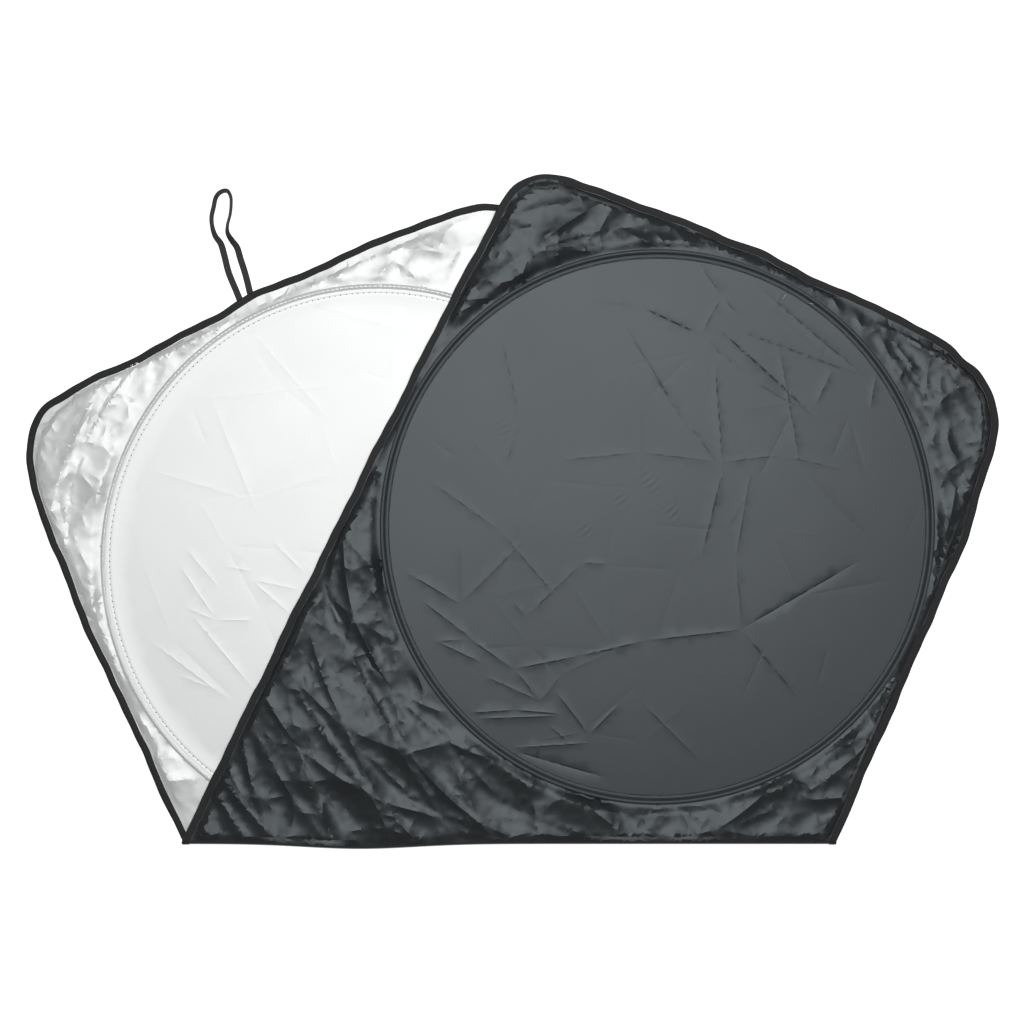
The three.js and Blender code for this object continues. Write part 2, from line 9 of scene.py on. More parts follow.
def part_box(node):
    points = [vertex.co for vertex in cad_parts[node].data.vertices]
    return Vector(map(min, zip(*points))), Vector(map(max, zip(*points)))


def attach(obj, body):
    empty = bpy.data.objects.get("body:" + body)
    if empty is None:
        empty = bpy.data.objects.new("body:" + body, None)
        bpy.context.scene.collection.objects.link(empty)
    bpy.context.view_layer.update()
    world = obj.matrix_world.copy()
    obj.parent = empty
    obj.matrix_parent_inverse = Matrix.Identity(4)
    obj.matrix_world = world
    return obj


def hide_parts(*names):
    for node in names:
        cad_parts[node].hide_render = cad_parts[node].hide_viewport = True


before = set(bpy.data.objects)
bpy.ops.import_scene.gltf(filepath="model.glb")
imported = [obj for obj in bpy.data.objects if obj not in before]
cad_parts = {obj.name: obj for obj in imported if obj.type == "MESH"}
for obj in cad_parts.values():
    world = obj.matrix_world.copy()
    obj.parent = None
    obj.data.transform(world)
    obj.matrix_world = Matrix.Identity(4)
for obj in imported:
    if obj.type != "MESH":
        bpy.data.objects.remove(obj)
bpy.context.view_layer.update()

# Sizes here are in millimetres, and become metres when a mesh is made
MM = 0.001

# Camera: straight above the folded sheet, at a height in metres
PHOTO_PIXELS = 1024
MM_PER_PIXEL = 1.22
CAMERA_HEIGHT = 3.2
SENSOR_WIDTH = 36.0

# The cut of the cloth: length, lean and bow of each half's side edges
FOLD_LENGTH = 795
FOLD_X = -3.6
FOLD_Y = -404
FOLD_BULGE = 6
FOLD_BULGE_X = -185
FOLD_BULGE_WIDTH = 95
LOWER_LEFT_SIDE = (560, 113.9, 2)
LOWER_RIGHT_SIDE = (890, 115.6, 3)
UPPER_LEFT_SIDE = (931, 63.5, 4)
UPPER_RIGHT_SIDE = (608, 67.5, 7)
OUTER_CORNER_RADIUS = 128
INNER_CORNER_RADIUS = 92
TIGHT_CORNER_RADIUS = 76
LOWER_END_BOW = 5
UPPER_END_BOW = 11

# Cloth, tapes and seams
CLOTH_THICKNESS = 0.6
TAPE_THICKNESS = 0.5
SEAM_GAP = 0.3
BINDING_WIDTH = 8
BINDING_MARGIN = 0.7
BINDING_SEAM = 0.76
SEAM_PINCH = 0.22
TAPE_PUCKER_PITCH = 7.3
BINDING_UNEVEN = 0.35
BINDING_UNEVEN_PITCH = 61
FOLD_TURN_RUN = 30
HALF_CLOTH = CLOTH_THICKNESS / 2
BINDING_INNER = HALF_CLOTH + SEAM_GAP
BINDING_OUTER = BINDING_INNER + TAPE_THICKNESS
ROW_INSET = BINDING_WIDTH + BINDING_MARGIN

# Hoops and casings
LOWER_HOOP_RISE = 340.4
UPPER_HOOP_RISE = 382.4
HOOP_MARGIN = 15
FOLD_MARGIN = 5.4
CASING_SEAM_WIDTH = 5
CASING_FLANGE = 8.6
CASING_REACH = 0.8
CASING_SHOULDER = 1.3
CASING_RUN_IN = 2.1
SEAM_INSET = 0.75
FLANGE_PUCKER = 0.17
FLANGE_PUCKER_PITCH = 6.1
FLANGE_WAVER = 0.3
FLANGE_WAVER_PITCH = 23
CHANNEL_RADIUS = 1.8
CASING_BASE = HALF_CLOTH + SEAM_GAP
WIRE_LIFT = CASING_BASE + TAPE_THICKNESS + CHANNEL_RADIUS
CASING_HEIGHT = WIRE_LIFT + CHANNEL_RADIUS + TAPE_THICKNESS

# How the folded sheet lies
BEND_RADIUS = 3.6
FOLD_LIFT = 2.8
UPPER_HOOP_LIFT = 9.9
UPPER_HOOP_DROP = 4.2
COVERED_HEIGHT = 4.6
FLAP_HEIGHT = 7.4
LOOSE_HEIGHT = 1.1
COVER_MARGIN = 12
COVER_RUN = 52
STEP_RUN = 70
REST_GAP = 0.05

# Folds of the slack cloth: long ones that lie along the hoop, short ones over them, and small crinkles
FOLD_HEIGHT = 12
FOLD_PITCH = 42
FOLD_STRETCH = 0.42
SHORT_PITCH = 25
SHORT_SHARE = 0.24
SHORT_SEED = 8
CRINKLE_PITCH = 13
CRINKLE_HEIGHT = 0.45
CRINKLE_SEED = 23
NARROW_STRIP = 22
STRIP_HEIGHT = 1.9
HEIGHT_CONTRAST = (0.2, 0.8, 0.7)
NODE_OFFSET = 0.62
RING_CALM = 14
EDGE_CALM = 9
FOLD_CALM = 9
CRINKLE_CALM = 8
COVERED_SLACK = 0.3
RIM_RUN = 52
EDGE_LIFT = 3.2
EDGE_PITCH = 170
EDGE_SLANT = 1.7
EDGE_WAVER = 1.1
EDGE_WAVER_PITCH = 118
SHORT_WAVER = 0.4
SHORT_WAVER_PITCH = 0.31 * EDGE_WAVER_PITCH
WAVER_RUN_IN = (20, 90)
FLAP_SHARE = 0.4
MOST_LIFT = 26
SAG = 0.3
ROW_SHARE = math.sqrt(3) / 2
TINY = 1e-6

# Where the edge stands out or draws in: a place in the photograph, how far, and its reach
LOWER_BULGES = (
    (300, 276, 4.5, 110), (250, 298, 4, 30), (390, 238, 4, 70), (42, 412, 6, 28),
    (128, 360, -2.5, 30), (30, 500, -2.5, 45), (88, 640, 3, 80), (168, 822, 5, 25),
)
UPPER_BULGES = (
    (760, 247, 3, 25), (812, 278, -1.5, 20), (900, 316, 4, 46), (932, 332, 3, 34), (961, 362, -3, 16),
    (962, 548, 4.5, 38), (898, 685, -2.5, 50), (860, 770, -2.5, 40),
)

# The ridge that the wire raises in the silver face, and the row of its stitches
RIDGE_WIDTH = 1.7
RIDGE_HEIGHT = 1.6
GROOVE_WIDTH = 1.1
RIDGE_ROWS = (-3.2, -1.7, -0.8, 0.8, 1.7, 3.2)
SEAM_ROWS = (-1.2, 0, 1.2)
GROOVE_DEPTH = 0.3

# Elastic loop
STRAP_WIDTH = 8
STRAP_THICKNESS = 1.0
STRAP_ROLL = math.radians(58)
STRAP_SHARE = 0.589
STRAP_COVER = 45
ROLL_START = 0.42
ROLL_END = 0.72
STRAP_RIBS = 6
RIB_DEPTH = 0.3
SELVEDGE = 0.55

# Route of the elastic: distances along the edge from its root, and out from the edge
STRAP_ROUTE = np.array([
    (8, -2), (7, 18), (6, 42), (2, 64), (0, 78), (2, 89), (1, 99), (-3, 111), (-11, 122), (-19, 132),
    (-27, 135), (-34, 133), (-35, 125), (-31, 115), (-25, 105), (-17, 95), (-13, 86), (-14, 76),
    (-16, 66), (-14, 51), (-12, 34), (-9, 17), (-6, 3), (-5, -3),
], dtype=float)

# Fineness of the sheet
BORDER_STEP = 34
FINE_EDGE_STEP = 4.0
SLACK_STEP = 4.7
RIDGE_STEP = 3.5
RIDGE_CLEAR = 1.9
CREASE_CLEAR = 1.05
DISC_STEP = 12.0
HIDDEN_STEP = 11.0
BEND_STEPS = 10
FOLD_CLEAR = 2.0
TAPE_STEP = 2.6
CASING_STATIONS = 700
STRAP_STEPS = 260
SEAM_STATIONS = 360
RING_POINTS = 420
RING_GAP = 1.5
GRID_GAP = 2.5
HIDDEN_GAP = 4
HIDDEN_DEPTH = 6
ROW_CLEAR = 3
CREASE_STEP = 4
CREASE_ROWS = (-3.2, -1.4, 0, 1.4, 3.2)
CREASE_MARGIN = 7
DISC_MARGIN = 20
DISC_CLEAR = 3.0

# Pressed creases and ripples in the taut cloth of the discs
CREASE_TAPER = 0.25
RIPPLE_PITCH = 8.5
RIPPLE_HEIGHT = 0.2
RIPPLE_WIDTH = 8
RIPPLE_REACH = 0.3
RIPPLE_BEND = 0.012
RIPPLE_SWAY = 1.6
RIPPLE_SWAY_RUN = 9
RIPPLE_STEP = 2.5
DISC_CALM = 6
DISC_SAG_RUN = 16

# Creases scattered over the discs: how many grid lines have one, and how many of those are dents
SCATTER_SHARE = 0.4
DENT_SHARE = 0.22
SCATTER_LOW = 0.05
SCATTER_WIDTH = 1.2
SCATTER_MARGIN = 14
SCATTER_END_MARGIN = 10
SCATTER_CUT = 0.45

# Stitches, in metres: their pitch, length and thread width along a casing, and the grey marks at the dimples
# under them: thread, with the dimples' shade painted into its grey
EDGE_STITCHES = {"pitch": 0.0034}
HOOP_STITCHES = {"pitch": 0.0031, "stitch_length": 0.0023, "thread_width": 0.0008}
SEAM_DIMPLE_SHADE_MARKS = {"pitch": 0.007, "stitch_length": 0.0015, "thread_width": 0.0014}

# Loose thread ends: where each starts in the photograph, its first direction and its length
THREAD_TAILS = ((785.5, 295.5, -155, 6.5), (809, 303.5, -40, 4.5))
THREAD_RADIUS = 0.28
THREAD_CURL = 25

# Light and floor, in metres and watts
SOFTBOX_PLACE = (0.06, 0.5, 2.4)
SOFTBOX_SIZE = 1.8
SOFTBOX_WATTS = 36
WORLD_LIGHT = 0.2
FLOOR_REACH = 6
FLOOR_GREY = 0.8

# Pitches of the weaves, in metres
CLOTH_WEAVE = 0.0011
TAPE_WEAVE = 0.0009
ELASTIC_WEAVE = 0.0006

# Tints of the shine
COATING_SHINE = (0.86, 0.95, 1.0, 1)
TAPE_SHINE = (0.95, 0.98, 1.0, 1)


def clamp(value, low, high):
    return np.minimum(np.maximum(value, low), high)


def smooth(value, low, high):
    t = clamp((value - low) / (high - low), 0, 1)
    return t * t * (3 - 2 * t)


def mix(a, b, t):
    return a * (1 - t) + b * t


def polar(degrees, length):
    turn = math.radians(degrees)
    return np.array([math.cos(turn), math.sin(turn)]) * length


def unit(vectors):
    return vectors / np.linalg.norm(vectors, axis=-1, keepdims=True)


def left_of(way):
    """Directions in the plane, turned a quarter to the left."""
    return np.stack([-way[..., 1], way[..., 0]], axis=-1)


def run_along(line):
    """The distance along a polyline at each of its points."""
    return np.concatenate([[0], np.cumsum(np.linalg.norm(np.diff(line, axis=0), axis=1))])


def far_from(place, points):
    return np.linalg.norm(points - place, axis=1)


def whole_turn(count):
    return np.arange(count) * 2 * math.pi / count


def directions(turn):
    return np.stack([np.cos(turn), np.sin(turn)], axis=1)


def fold_line(x):
    """The fold's outermost line, pushed out where the lower hoop bears on it."""
    return FOLD_Y + BEND_RADIUS - FOLD_BULGE * np.exp(-(((x - FOLD_BULGE_X) / FOLD_BULGE_WIDTH) ** 2))


def fold_end(side):
    x = FOLD_X + side * FOLD_LENGTH / 2
    return np.array([x, float(fold_line(x))])


FOLD_LEFT = fold_end(-1)
FOLD_RIGHT = fold_end(1)


def quadratic(a, b, c, count=200):
    t = np.linspace(0, 1, count)[:, None]
    return (1 - t) ** 2 * a + 2 * (1 - t) * t * b + t * t * c


def respaced(line, step):
    """The same polyline with its points at equal distances of about step."""
    run = run_along(line)
    count = int(round(run[-1] / step))
    at = np.linspace(0, run[-1], count + 1)
    return np.stack([np.interp(at, run, line[:, k]) for k in range(line.shape[1])], axis=1)


def ripple(run, pitch, seed):
    """An uneven wave along a tape, from -1 to 1."""
    turn = run * 2 * math.pi
    return 0.6 * np.sin(turn / pitch + seed) + 0.4 * np.sin(turn / (1.73 * pitch) + 2 * seed)


def free_edge(left_side, right_side, left_radius, right_radius, end_bow):
    """One half's free edge, from the right end of the fold round to the left end."""
    left_length, left_lean, left_bow = left_side
    right_length, right_lean, right_bow = right_side
    left_corner = FOLD_LEFT + polar(left_lean, left_length)
    right_corner = FOLD_RIGHT + polar(right_lean, right_length)
    end = unit(left_corner - right_corner)
    outward = -left_of(end)
    right_in = right_corner - polar(right_lean, right_radius)
    right_out = right_corner + end * right_radius
    left_in = left_corner - end * left_radius
    left_out = left_corner - polar(left_lean, left_radius)
    bow = (right_out + left_in) / 2 + outward * 2 * end_bow
    right_bulge = (FOLD_RIGHT + right_in) / 2 + polar(right_lean - 90, 2 * right_bow)
    left_bulge = (FOLD_LEFT + left_out) / 2 + polar(left_lean + 90, 2 * left_bow)
    runs = [
        quadratic(FOLD_RIGHT, right_bulge, right_in),
        quadratic(right_in, right_corner, right_out),
        quadratic(right_out, bow, left_in),
        quadratic(left_in, left_corner, left_out),
        quadratic(left_out, left_bulge, FOLD_LEFT),
    ]
    return np.concatenate([runs[0]] + [run[1:] for run in runs[1:]])


LOWER_LINE = free_edge(
    LOWER_LEFT_SIDE, LOWER_RIGHT_SIDE, OUTER_CORNER_RADIUS, INNER_CORNER_RADIUS, LOWER_END_BOW
)
UPPER_LINE = free_edge(
    UPPER_LEFT_SIDE, UPPER_RIGHT_SIDE, TIGHT_CORNER_RADIUS, OUTER_CORNER_RADIUS, UPPER_END_BOW
)


def pixel(x, y):
    """A place in the photograph, in the sheet's own millimetres."""
    return (x - PHOTO_PIXELS / 2) * MM_PER_PIXEL, (PHOTO_PIXELS / 2 - y) * MM_PER_PIXEL


def wavered(line, seed, bulges):
    """The edge as sewn: its tape draws it in and lets it out by a few millimetres."""
    run = run_along(line)
    short = SHORT_WAVER * ripple(run, SHORT_WAVER_PITCH, 2 * seed)
    off = EDGE_WAVER * (ripple(run, EDGE_WAVER_PITCH, seed) + short)
    for x, y, outward, reach in bulges:
        nearest = far_from(pixel(x, y), line).argmin()
        off = off + outward * np.exp(-(((run - run[nearest]) / reach) ** 2))
    off = off * smooth(run, *WAVER_RUN_IN) * smooth(run[-1] - run, *WAVER_RUN_IN)
    return line - off[:, None] * left_of(unit(np.gradient(line, axis=0)))


LOWER_EDGE = respaced(LOWER_LINE, BORDER_STEP)
UPPER_EDGE = respaced(UPPER_LINE, BORDER_STEP)


def hoop_centre(left_side, right_side, rise):
    """Midway between a half's side edges, at the hoop's own distance from the fold."""
    y = FOLD_LEFT[1] + rise
    left_way = polar(left_side[1], 1)
    right_way = polar(right_side[1], 1)
    left = FOLD_LEFT[0] + left_way[0] * rise / left_way[1]
    right = FOLD_RIGHT[0] + right_way[0] * (y - FOLD_RIGHT[1]) / right_way[1]
    return np.array([(left * left_way[1] + right * right_way[1]) / (left_way[1] + right_way[1]), y])


LOWER_HOOP_CENTRE = hoop_centre(LOWER_LEFT_SIDE, LOWER_RIGHT_SIDE, LOWER_HOOP_RISE)
UPPER_HOOP_CENTRE = hoop_centre(UPPER_LEFT_SIDE, UPPER_RIGHT_SIDE, UPPER_HOOP_RISE)
HOOP_RADIUS = min(
    far_from(LOWER_HOOP_CENTRE, LOWER_EDGE).min() - HOOP_MARGIN,
    far_from(UPPER_HOOP_CENTRE, UPPER_EDGE).min() - HOOP_MARGIN,
    LOWER_HOOP_RISE - FOLD_MARGIN,
)
RING_INNER = HOOP_RADIUS - CASING_SEAM_WIDTH - BINDING_MARGIN
RING_OUTER = HOOP_RADIUS + CHANNEL_RADIUS + CASING_REACH + SEAM_GAP
SEAM_RADIUS = HOOP_RADIUS - CASING_FLANGE + SEAM_INSET

# The sheet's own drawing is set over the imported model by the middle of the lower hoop's casing
CASING_LOW, CASING_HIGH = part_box("lower_hoop_casing")
SHIFT = np.array([
    (CASING_LOW.x + CASING_HIGH.x) / 2 / MM - LOWER_HOOP_CENTRE[0],
    (CASING_LOW.y + CASING_HIGH.y) / 2 / MM - LOWER_HOOP_CENTRE[1],
    0.0,
])

# The elastic is sewn on at a share of the way along the lower half's edge
STRAP_PLACE = STRAP_SHARE * (len(LOWER_EDGE) - 1)
STRAP_FROM, STRAP_TO = LOWER_EDGE[int(STRAP_PLACE)], LOWER_EDGE[int(STRAP_PLACE) + 1]
STRAP_ROOT = mix(STRAP_FROM, STRAP_TO, STRAP_PLACE % 1)
STRAP_ALONG = unit(STRAP_TO - STRAP_FROM)
STRAP_OUT = -left_of(STRAP_ALONG)


def depth_inside(outline, points, closed=True):
    """How far points lie inside a convex outline; outside it the answer is negative.

    Without its last side, from the last point to the first, the outline is a half's free edge.
    """
    depth = np.full(len(points), np.inf)
    ends = np.roll(outline, -1, axis=0)
    for start, end in list(zip(outline, ends))[: None if closed else -1]:
        along = unit(end - start)
        across = along[0] * (points[:, 1] - start[1]) - along[1] * (points[:, 0] - start[0])
        depth = np.minimum(depth, across)
    return depth


def spread(i, j, seed):
    """A repeatable number from 0 to 1 for each place in a grid."""
    turn = np.sin(i * 12.9898 + j * 78.233 + seed * 37.719) * 43758.5453
    return turn - np.floor(turn)


def grid_node(i, j, pitch, seed):
    """The uneven node of a three-way grid, and a height from 0 to 1 that is mostly low or high."""
    x = (i + j / 2 + NODE_OFFSET * (spread(i, j, seed) - 0.5)) * pitch
    y = (j + NODE_OFFSET * (spread(i, j, seed + 1) - 0.5)) * pitch * ROW_SHARE
    lift = spread(i, j, seed + 2)
    low, high, share = HEIGHT_CONTRAST
    return x, y, mix(lift, smooth(lift, low, high), share)


def facets(points, pitch, seed, sag):
    """Facets between the nodes of an uneven grid, sagging a little between sharp ridges."""
    x, y = points[:, 0], points[:, 1]
    v = y / (pitch * ROW_SHARE)
    u = x / pitch - v / 2
    base_i, base_j = np.floor(u), np.floor(v)
    height = np.zeros(len(points))
    for step_i in (-1, 0, 1):
        for step_j in (-1, 0, 1):
            i, j = base_i + step_i, base_j + step_j
            corners = [grid_node(i + a, j + b, pitch, seed) for a, b in ((0, 0), (1, 0), (1, 1), (0, 1))]
            for a, b, c in ((0, 1, 3), (1, 2, 3)):
                (ax, ay, az), (bx, by, bz), (cx, cy, cz) = corners[a], corners[b], corners[c]
                area = (bx - ax) * (cy - ay) - (by - ay) * (cx - ax)
                s = ((bx - x) * (cy - y) - (by - y) * (cx - x)) / area
                t = ((cx - x) * (ay - y) - (cy - y) * (ax - x)) / area
                inside = (s >= 0) & (t >= 0) & (s + t <= 1)
                dish = sag * 27 * s * t * (1 - s - t) * (0.3 + 0.7 * spread(i + a, j, seed + 3))
                height = np.where(inside, s * az + t * bz + (1 - s - t) * cz - dish, height)
    return height


def around(points, half):
    """Points laid out along a hoop, from the angle where its layout starts, and away from it."""
    away = points - half["centre"]
    turn = np.mod(np.arctan2(away[:, 1], away[:, 0]) - half["fan_start"], 2 * math.pi)
    return np.stack([turn * HOOP_RADIUS * FOLD_STRETCH, np.linalg.norm(away, axis=1) - RING_OUTER], axis=1)


def from_around(laid, half):
    """The way back from around."""
    turn = laid[:, 0] / (HOOP_RADIUS * FOLD_STRETCH) + half["fan_start"]
    reach = laid[:, 1] + RING_OUTER
    return half["centre"] + reach[:, None] * directions(turn)


def crumple(points, half):
    """Folds of slack cloth, from 0 in a valley to 1 on a ridge."""
    long = facets(around(points, half), FOLD_PITCH, half["seed"], SAG)
    return mix(long, facets(points, SHORT_PITCH, half["seed"] + SHORT_SEED, SAG), SHORT_SHARE)


def ridge_points(pitch, seed, low, high, step):
    """Points along the creases of a field of facets, over a box in the field's own measure."""
    rows = np.arange(int(low[1] / (pitch * ROW_SHARE)) - 2, int(high[1] / (pitch * ROW_SHARE)) + 3)
    columns = np.arange(int(low[0] / pitch - rows[-1] / 2) - 3, int(high[0] / pitch - rows[0] / 2) + 4)
    i, j = [a.ravel() for a in np.meshgrid(columns, rows)]
    share = np.linspace(0, 1, int(pitch / step) + 1)[:-1, None]
    x, y, lift = grid_node(i, j, pitch, seed)
    found = []
    for a, b in ((1, 0), (0, 1), (-1, 1)):
        end_x, end_y, end_lift = grid_node(i + a, j + b, pitch, seed)
        found.append(np.stack([mix(x, end_x, share).ravel(), mix(y, end_y, share).ravel()], axis=1))
    found = np.concatenate(found)
    inside = np.all((found > np.array(low)) & (found < np.array(high)), axis=1)
    return found[inside]


def crease_points(half, low, high):
    """Where the creases of one half's slack cloth run, so that the mesh can follow them."""
    laid_high = (2 * math.pi * HOOP_RADIUS * FOLD_STRETCH, FOLD_LENGTH)
    long = ridge_points(FOLD_PITCH, half["seed"], (0, 0), laid_high, RIDGE_STEP * FOLD_STRETCH)
    short = ridge_points(SHORT_PITCH, half["seed"] + SHORT_SEED, low, high, RIDGE_STEP)
    found = np.concatenate([from_around(long, half), short])
    cell = np.floor(found / RIDGE_CLEAR).astype(int)
    return found[np.unique(cell, axis=0, return_index=True)[1]]


def covered(points):
    return smooth(depth_inside(UPPER_EDGE, points), -COVER_RUN, -COVER_MARGIN)


def over_lower(points):
    return smooth(depth_inside(LOWER_EDGE, points), -STEP_RUN, -COVER_MARGIN)


def wave(points, shift):
    run = (points[:, 0] + EDGE_SLANT * points[:, 1]) / EDGE_PITCH
    return (1 + np.sin(run * math.pi + shift)) / 2


def strap_rise(points):
    return np.exp(-((far_from(STRAP_ROOT, points) / STRAP_COVER) ** 4))


def lower_edge_height(points):
    under = strap_rise(points)
    free = EDGE_LIFT * wave(points, 1) * (1 - covered(points)) * (1 - under)
    return BINDING_OUTER + REST_GAP + (STRAP_THICKNESS + SEAM_GAP + 2 * REST_GAP) * under + free


def upper_edge_height(points):
    low = BINDING_OUTER + REST_GAP + EDGE_LIFT * wave(points, 3)
    high = FLAP_HEIGHT + FLAP_SHARE * EDGE_LIFT * wave(points, 4)
    return mix(low, high, over_lower(points))


LOWER = {
    "line": wavered(LOWER_LINE, 1.3, LOWER_BULGES),
    "edge": LOWER_EDGE,
    "centre": LOWER_HOOP_CENTRE,
    "seed": 3.0,
    "fan_start": math.radians(-90),
    "crease_seed": 61.0,
    "fold_height": FOLD_LIFT,
    "plane": lambda p: np.full(len(p), CASING_HEIGHT),
    "edge_height": lower_edge_height,
    "slack": lambda p: mix(1.0, COVERED_SLACK, covered(p)),
    "floor": lambda p: np.full(len(p), LOOSE_HEIGHT),
    "ceiling": lambda p: mix(MOST_LIFT, COVERED_HEIGHT, covered(p)),
    "disc_sag": 1.5,
    "ridge": 1,
}
UPPER = {
    "line": wavered(UPPER_LINE, 4.1, UPPER_BULGES),
    "edge": UPPER_EDGE,
    "centre": UPPER_HOOP_CENTRE,
    "seed": 11.0,
    "fan_start": math.radians(153.5),
    "crease_seed": 87.0,
    "fold_height": FOLD_LIFT + 2 * BEND_RADIUS,
    "plane": lambda p: UPPER_HOOP_LIFT
    - UPPER_HOOP_DROP * (p[:, 0] - UPPER_HOOP_CENTRE[0] + HOOP_RADIUS) / (2 * HOOP_RADIUS),
    "edge_height": upper_edge_height,
    "slack": lambda p: np.ones(len(p)),
    "floor": lambda p: mix(LOOSE_HEIGHT, FLAP_HEIGHT, over_lower(p)),
    "ceiling": lambda p: np.full(len(p), MOST_LIFT),
    "disc_sag": 0.0,
    "ridge": 0,
}


def disc_relief(points, half):
    """Fine pressed creases in the taut cloth inside a hoop, and its sag beside the hoop's ridge."""
    relief = np.zeros(len(points))
    for x1, y1, x2, y2, height, width in half["creases"]:
        start, end = np.array([x1, y1]), np.array([x2, y2])
        length = np.linalg.norm(end - start)
        along = (end - start) / length
        run = (points - start) @ along
        off = np.abs((points - start) @ left_of(along))
        ends = clamp(np.minimum(run, length - run) / (CREASE_TAPER * length), 0, 1)
        relief = relief + height * ends * np.exp(-off / width)
    for x, y, degrees, length in half["ripples"]:
        along = polar(degrees, 1)
        run = (points - (x, y)) @ along
        off = (points - (x, y)) @ left_of(along)
        ends = np.exp(-((run / (RIPPLE_REACH * length)) ** 2))
        bent = run + RIPPLE_BEND * off * off + RIPPLE_SWAY * np.sin(run / RIPPLE_SWAY_RUN)
        waves = RIPPLE_HEIGHT * np.sin(bent * 2 * math.pi / RIPPLE_PITCH)
        relief = relief + waves * ends * np.exp(-((off / RIPPLE_WIDTH) ** 2))
    away = far_from(half["centre"], points)
    inward = RING_INNER - away
    ridge = np.exp(-(((away - HOOP_RADIUS) / RIDGE_WIDTH) ** 2))
    groove = np.exp(-(((away - SEAM_RADIUS) / GROOVE_WIDTH) ** 2))
    relief = relief * smooth(inward, 0, DISC_CALM) - half["disc_sag"] * smooth(inward, 0, DISC_SAG_RUN)
    return relief + half["ridge"] * (RIDGE_HEIGHT * ridge - GROOVE_DEPTH * groove)


def sheet_height(points, half):
    """Height of the middle of the cloth at each point of one half."""
    away = far_from(half["centre"], points)
    from_ring = np.maximum(away - RING_OUTER, 0)
    from_edge = np.maximum(depth_inside(half["edge"], points, closed=False) - ROW_INSET, 0)
    from_fold = np.maximum(points[:, 1] - fold_line(points[:, 0]), 0)
    from_rim = np.minimum(from_edge, from_fold)
    share = (from_rim + TINY) / (from_rim + from_ring + TINY)
    rim = mix(half["fold_height"], half["edge_height"](points), smooth(from_fold, 0, RIM_RUN))
    calm = smooth(from_ring, 0, RING_CALM) * smooth(from_edge, 0, EDGE_CALM)
    rise = FOLD_HEIGHT * crumple(points, half) * (calm * smooth(from_fold, 0, FOLD_CALM))
    crinkle = facets(points, CRINKLE_PITCH, half["seed"] + CRINKLE_SEED, SAG) - 0.5
    narrow = 1 - smooth(from_ring + from_rim, NARROW_STRIP, 2.5 * NARROW_STRIP)
    still = smooth(from_ring, 0, CRINKLE_CALM) * smooth(from_rim, 0, CRINKLE_CALM)
    rise = half["slack"](points) * (rise + mix(CRINKLE_HEIGHT, STRIP_HEIGHT, narrow) * crinkle * still)
    slack = mix(rim, half["plane"](points), share) + rise
    slack = clamp(slack, half["floor"](points), half["ceiling"](points))
    disc = half["plane"](points) + disc_relief(points, half)
    return np.where(away < RING_OUTER, disc, slack)


def creases(height, width, *lines):
    """Creases given one by one: each line is a run of pixels of the photograph."""
    made = []
    for line in lines:
        for start, end in zip(line, line[1:]):
            made.append((*pixel(*start), *pixel(*end), height, width))
    return made


UPPER["creases"] = creases(
    -0.6, 1.15, [(712, 323), (818, 420)], [(741, 629), (860, 560)], [(515, 751), (605, 777)]
) + creases(
    0.5, 1.2, [(470, 712), (515, 709), (560, 713)], [(515, 668), (580, 655), (645, 640), (741, 629)],
    [(476, 718), (560, 715)],
) + creases(
    0.42, 1.1, [(720, 324), (865, 378)], [(752, 283), (865, 378)], [(462, 540), (462, 602), (524, 540)],
    [(406, 571), (461, 604)], [(437, 641), (482, 662)], [(467, 636), (516, 670), (541, 701)],
    [(422, 600), (475, 640)], [(555, 690), (589, 734), (620, 702)], [(741, 629), (800, 700)],
    [(512, 747), (590, 742)], [(714, 360), (722, 470), (700, 560)],
) + creases(
    0.3, 1.05, [(615, 310), (700, 450)], [(526, 616), (582, 562), (607, 564)], [(514, 602), (526, 616)],
    [(434, 641), (464, 639)], [(541, 701), (559, 675)], [(550, 725), (567, 740)], [(484, 675), (542, 701)],
    [(560, 460), (640, 452), (720, 462), (780, 455), (845, 470)], [(741, 629), (735, 560), (750, 470)],
    [(697, 262), (720, 296), (739, 317)], [(720, 298), (700, 335)],
    [(640, 307), (700, 335), (746, 377), (816, 419)],
    [(832, 369), (814, 406)], [(875, 376), (869, 409)], [(700, 335), (640, 307), (590, 300)],
    [(640, 356), (685, 420), (716, 462)], [(500, 330), (520, 420), (505, 470)], [(640, 700), (700, 760)],
    [(775, 330), (800, 470), (870, 540)], [(430, 480), (500, 530), (560, 600)],
)
LOWER["creases"] = creases(
    0.24, 1.2, [(185, 607), (216, 620), (255, 620)], [(190, 612), (255, 690)], [(180, 675), (217, 690)],
    [(250, 579), (302, 590)], [(252, 580), (292, 615)], [(180, 565), (215, 617)], [(185, 547), (219, 587)],
    [(272, 540), (307, 575)], [(225, 566), (252, 571)], [(150, 640), (230, 700)],
) + creases(
    0.14, 1.1, [(190, 400), (340, 385)], [(210, 395), (260, 520)], [(150, 470), (250, 500), (340, 470)],
    [(250, 330), (330, 420)], [(300, 300), (400, 330)],
)
UPPER["ripples"] = [
    (*pixel(650, 482), -50, 46), (*pixel(672, 512), -45, 34), (*pixel(505, 430), -60, 44),
    (*pixel(585, 530), -50, 34), (*pixel(620, 500), -52, 30),
]
LOWER["ripples"] = []


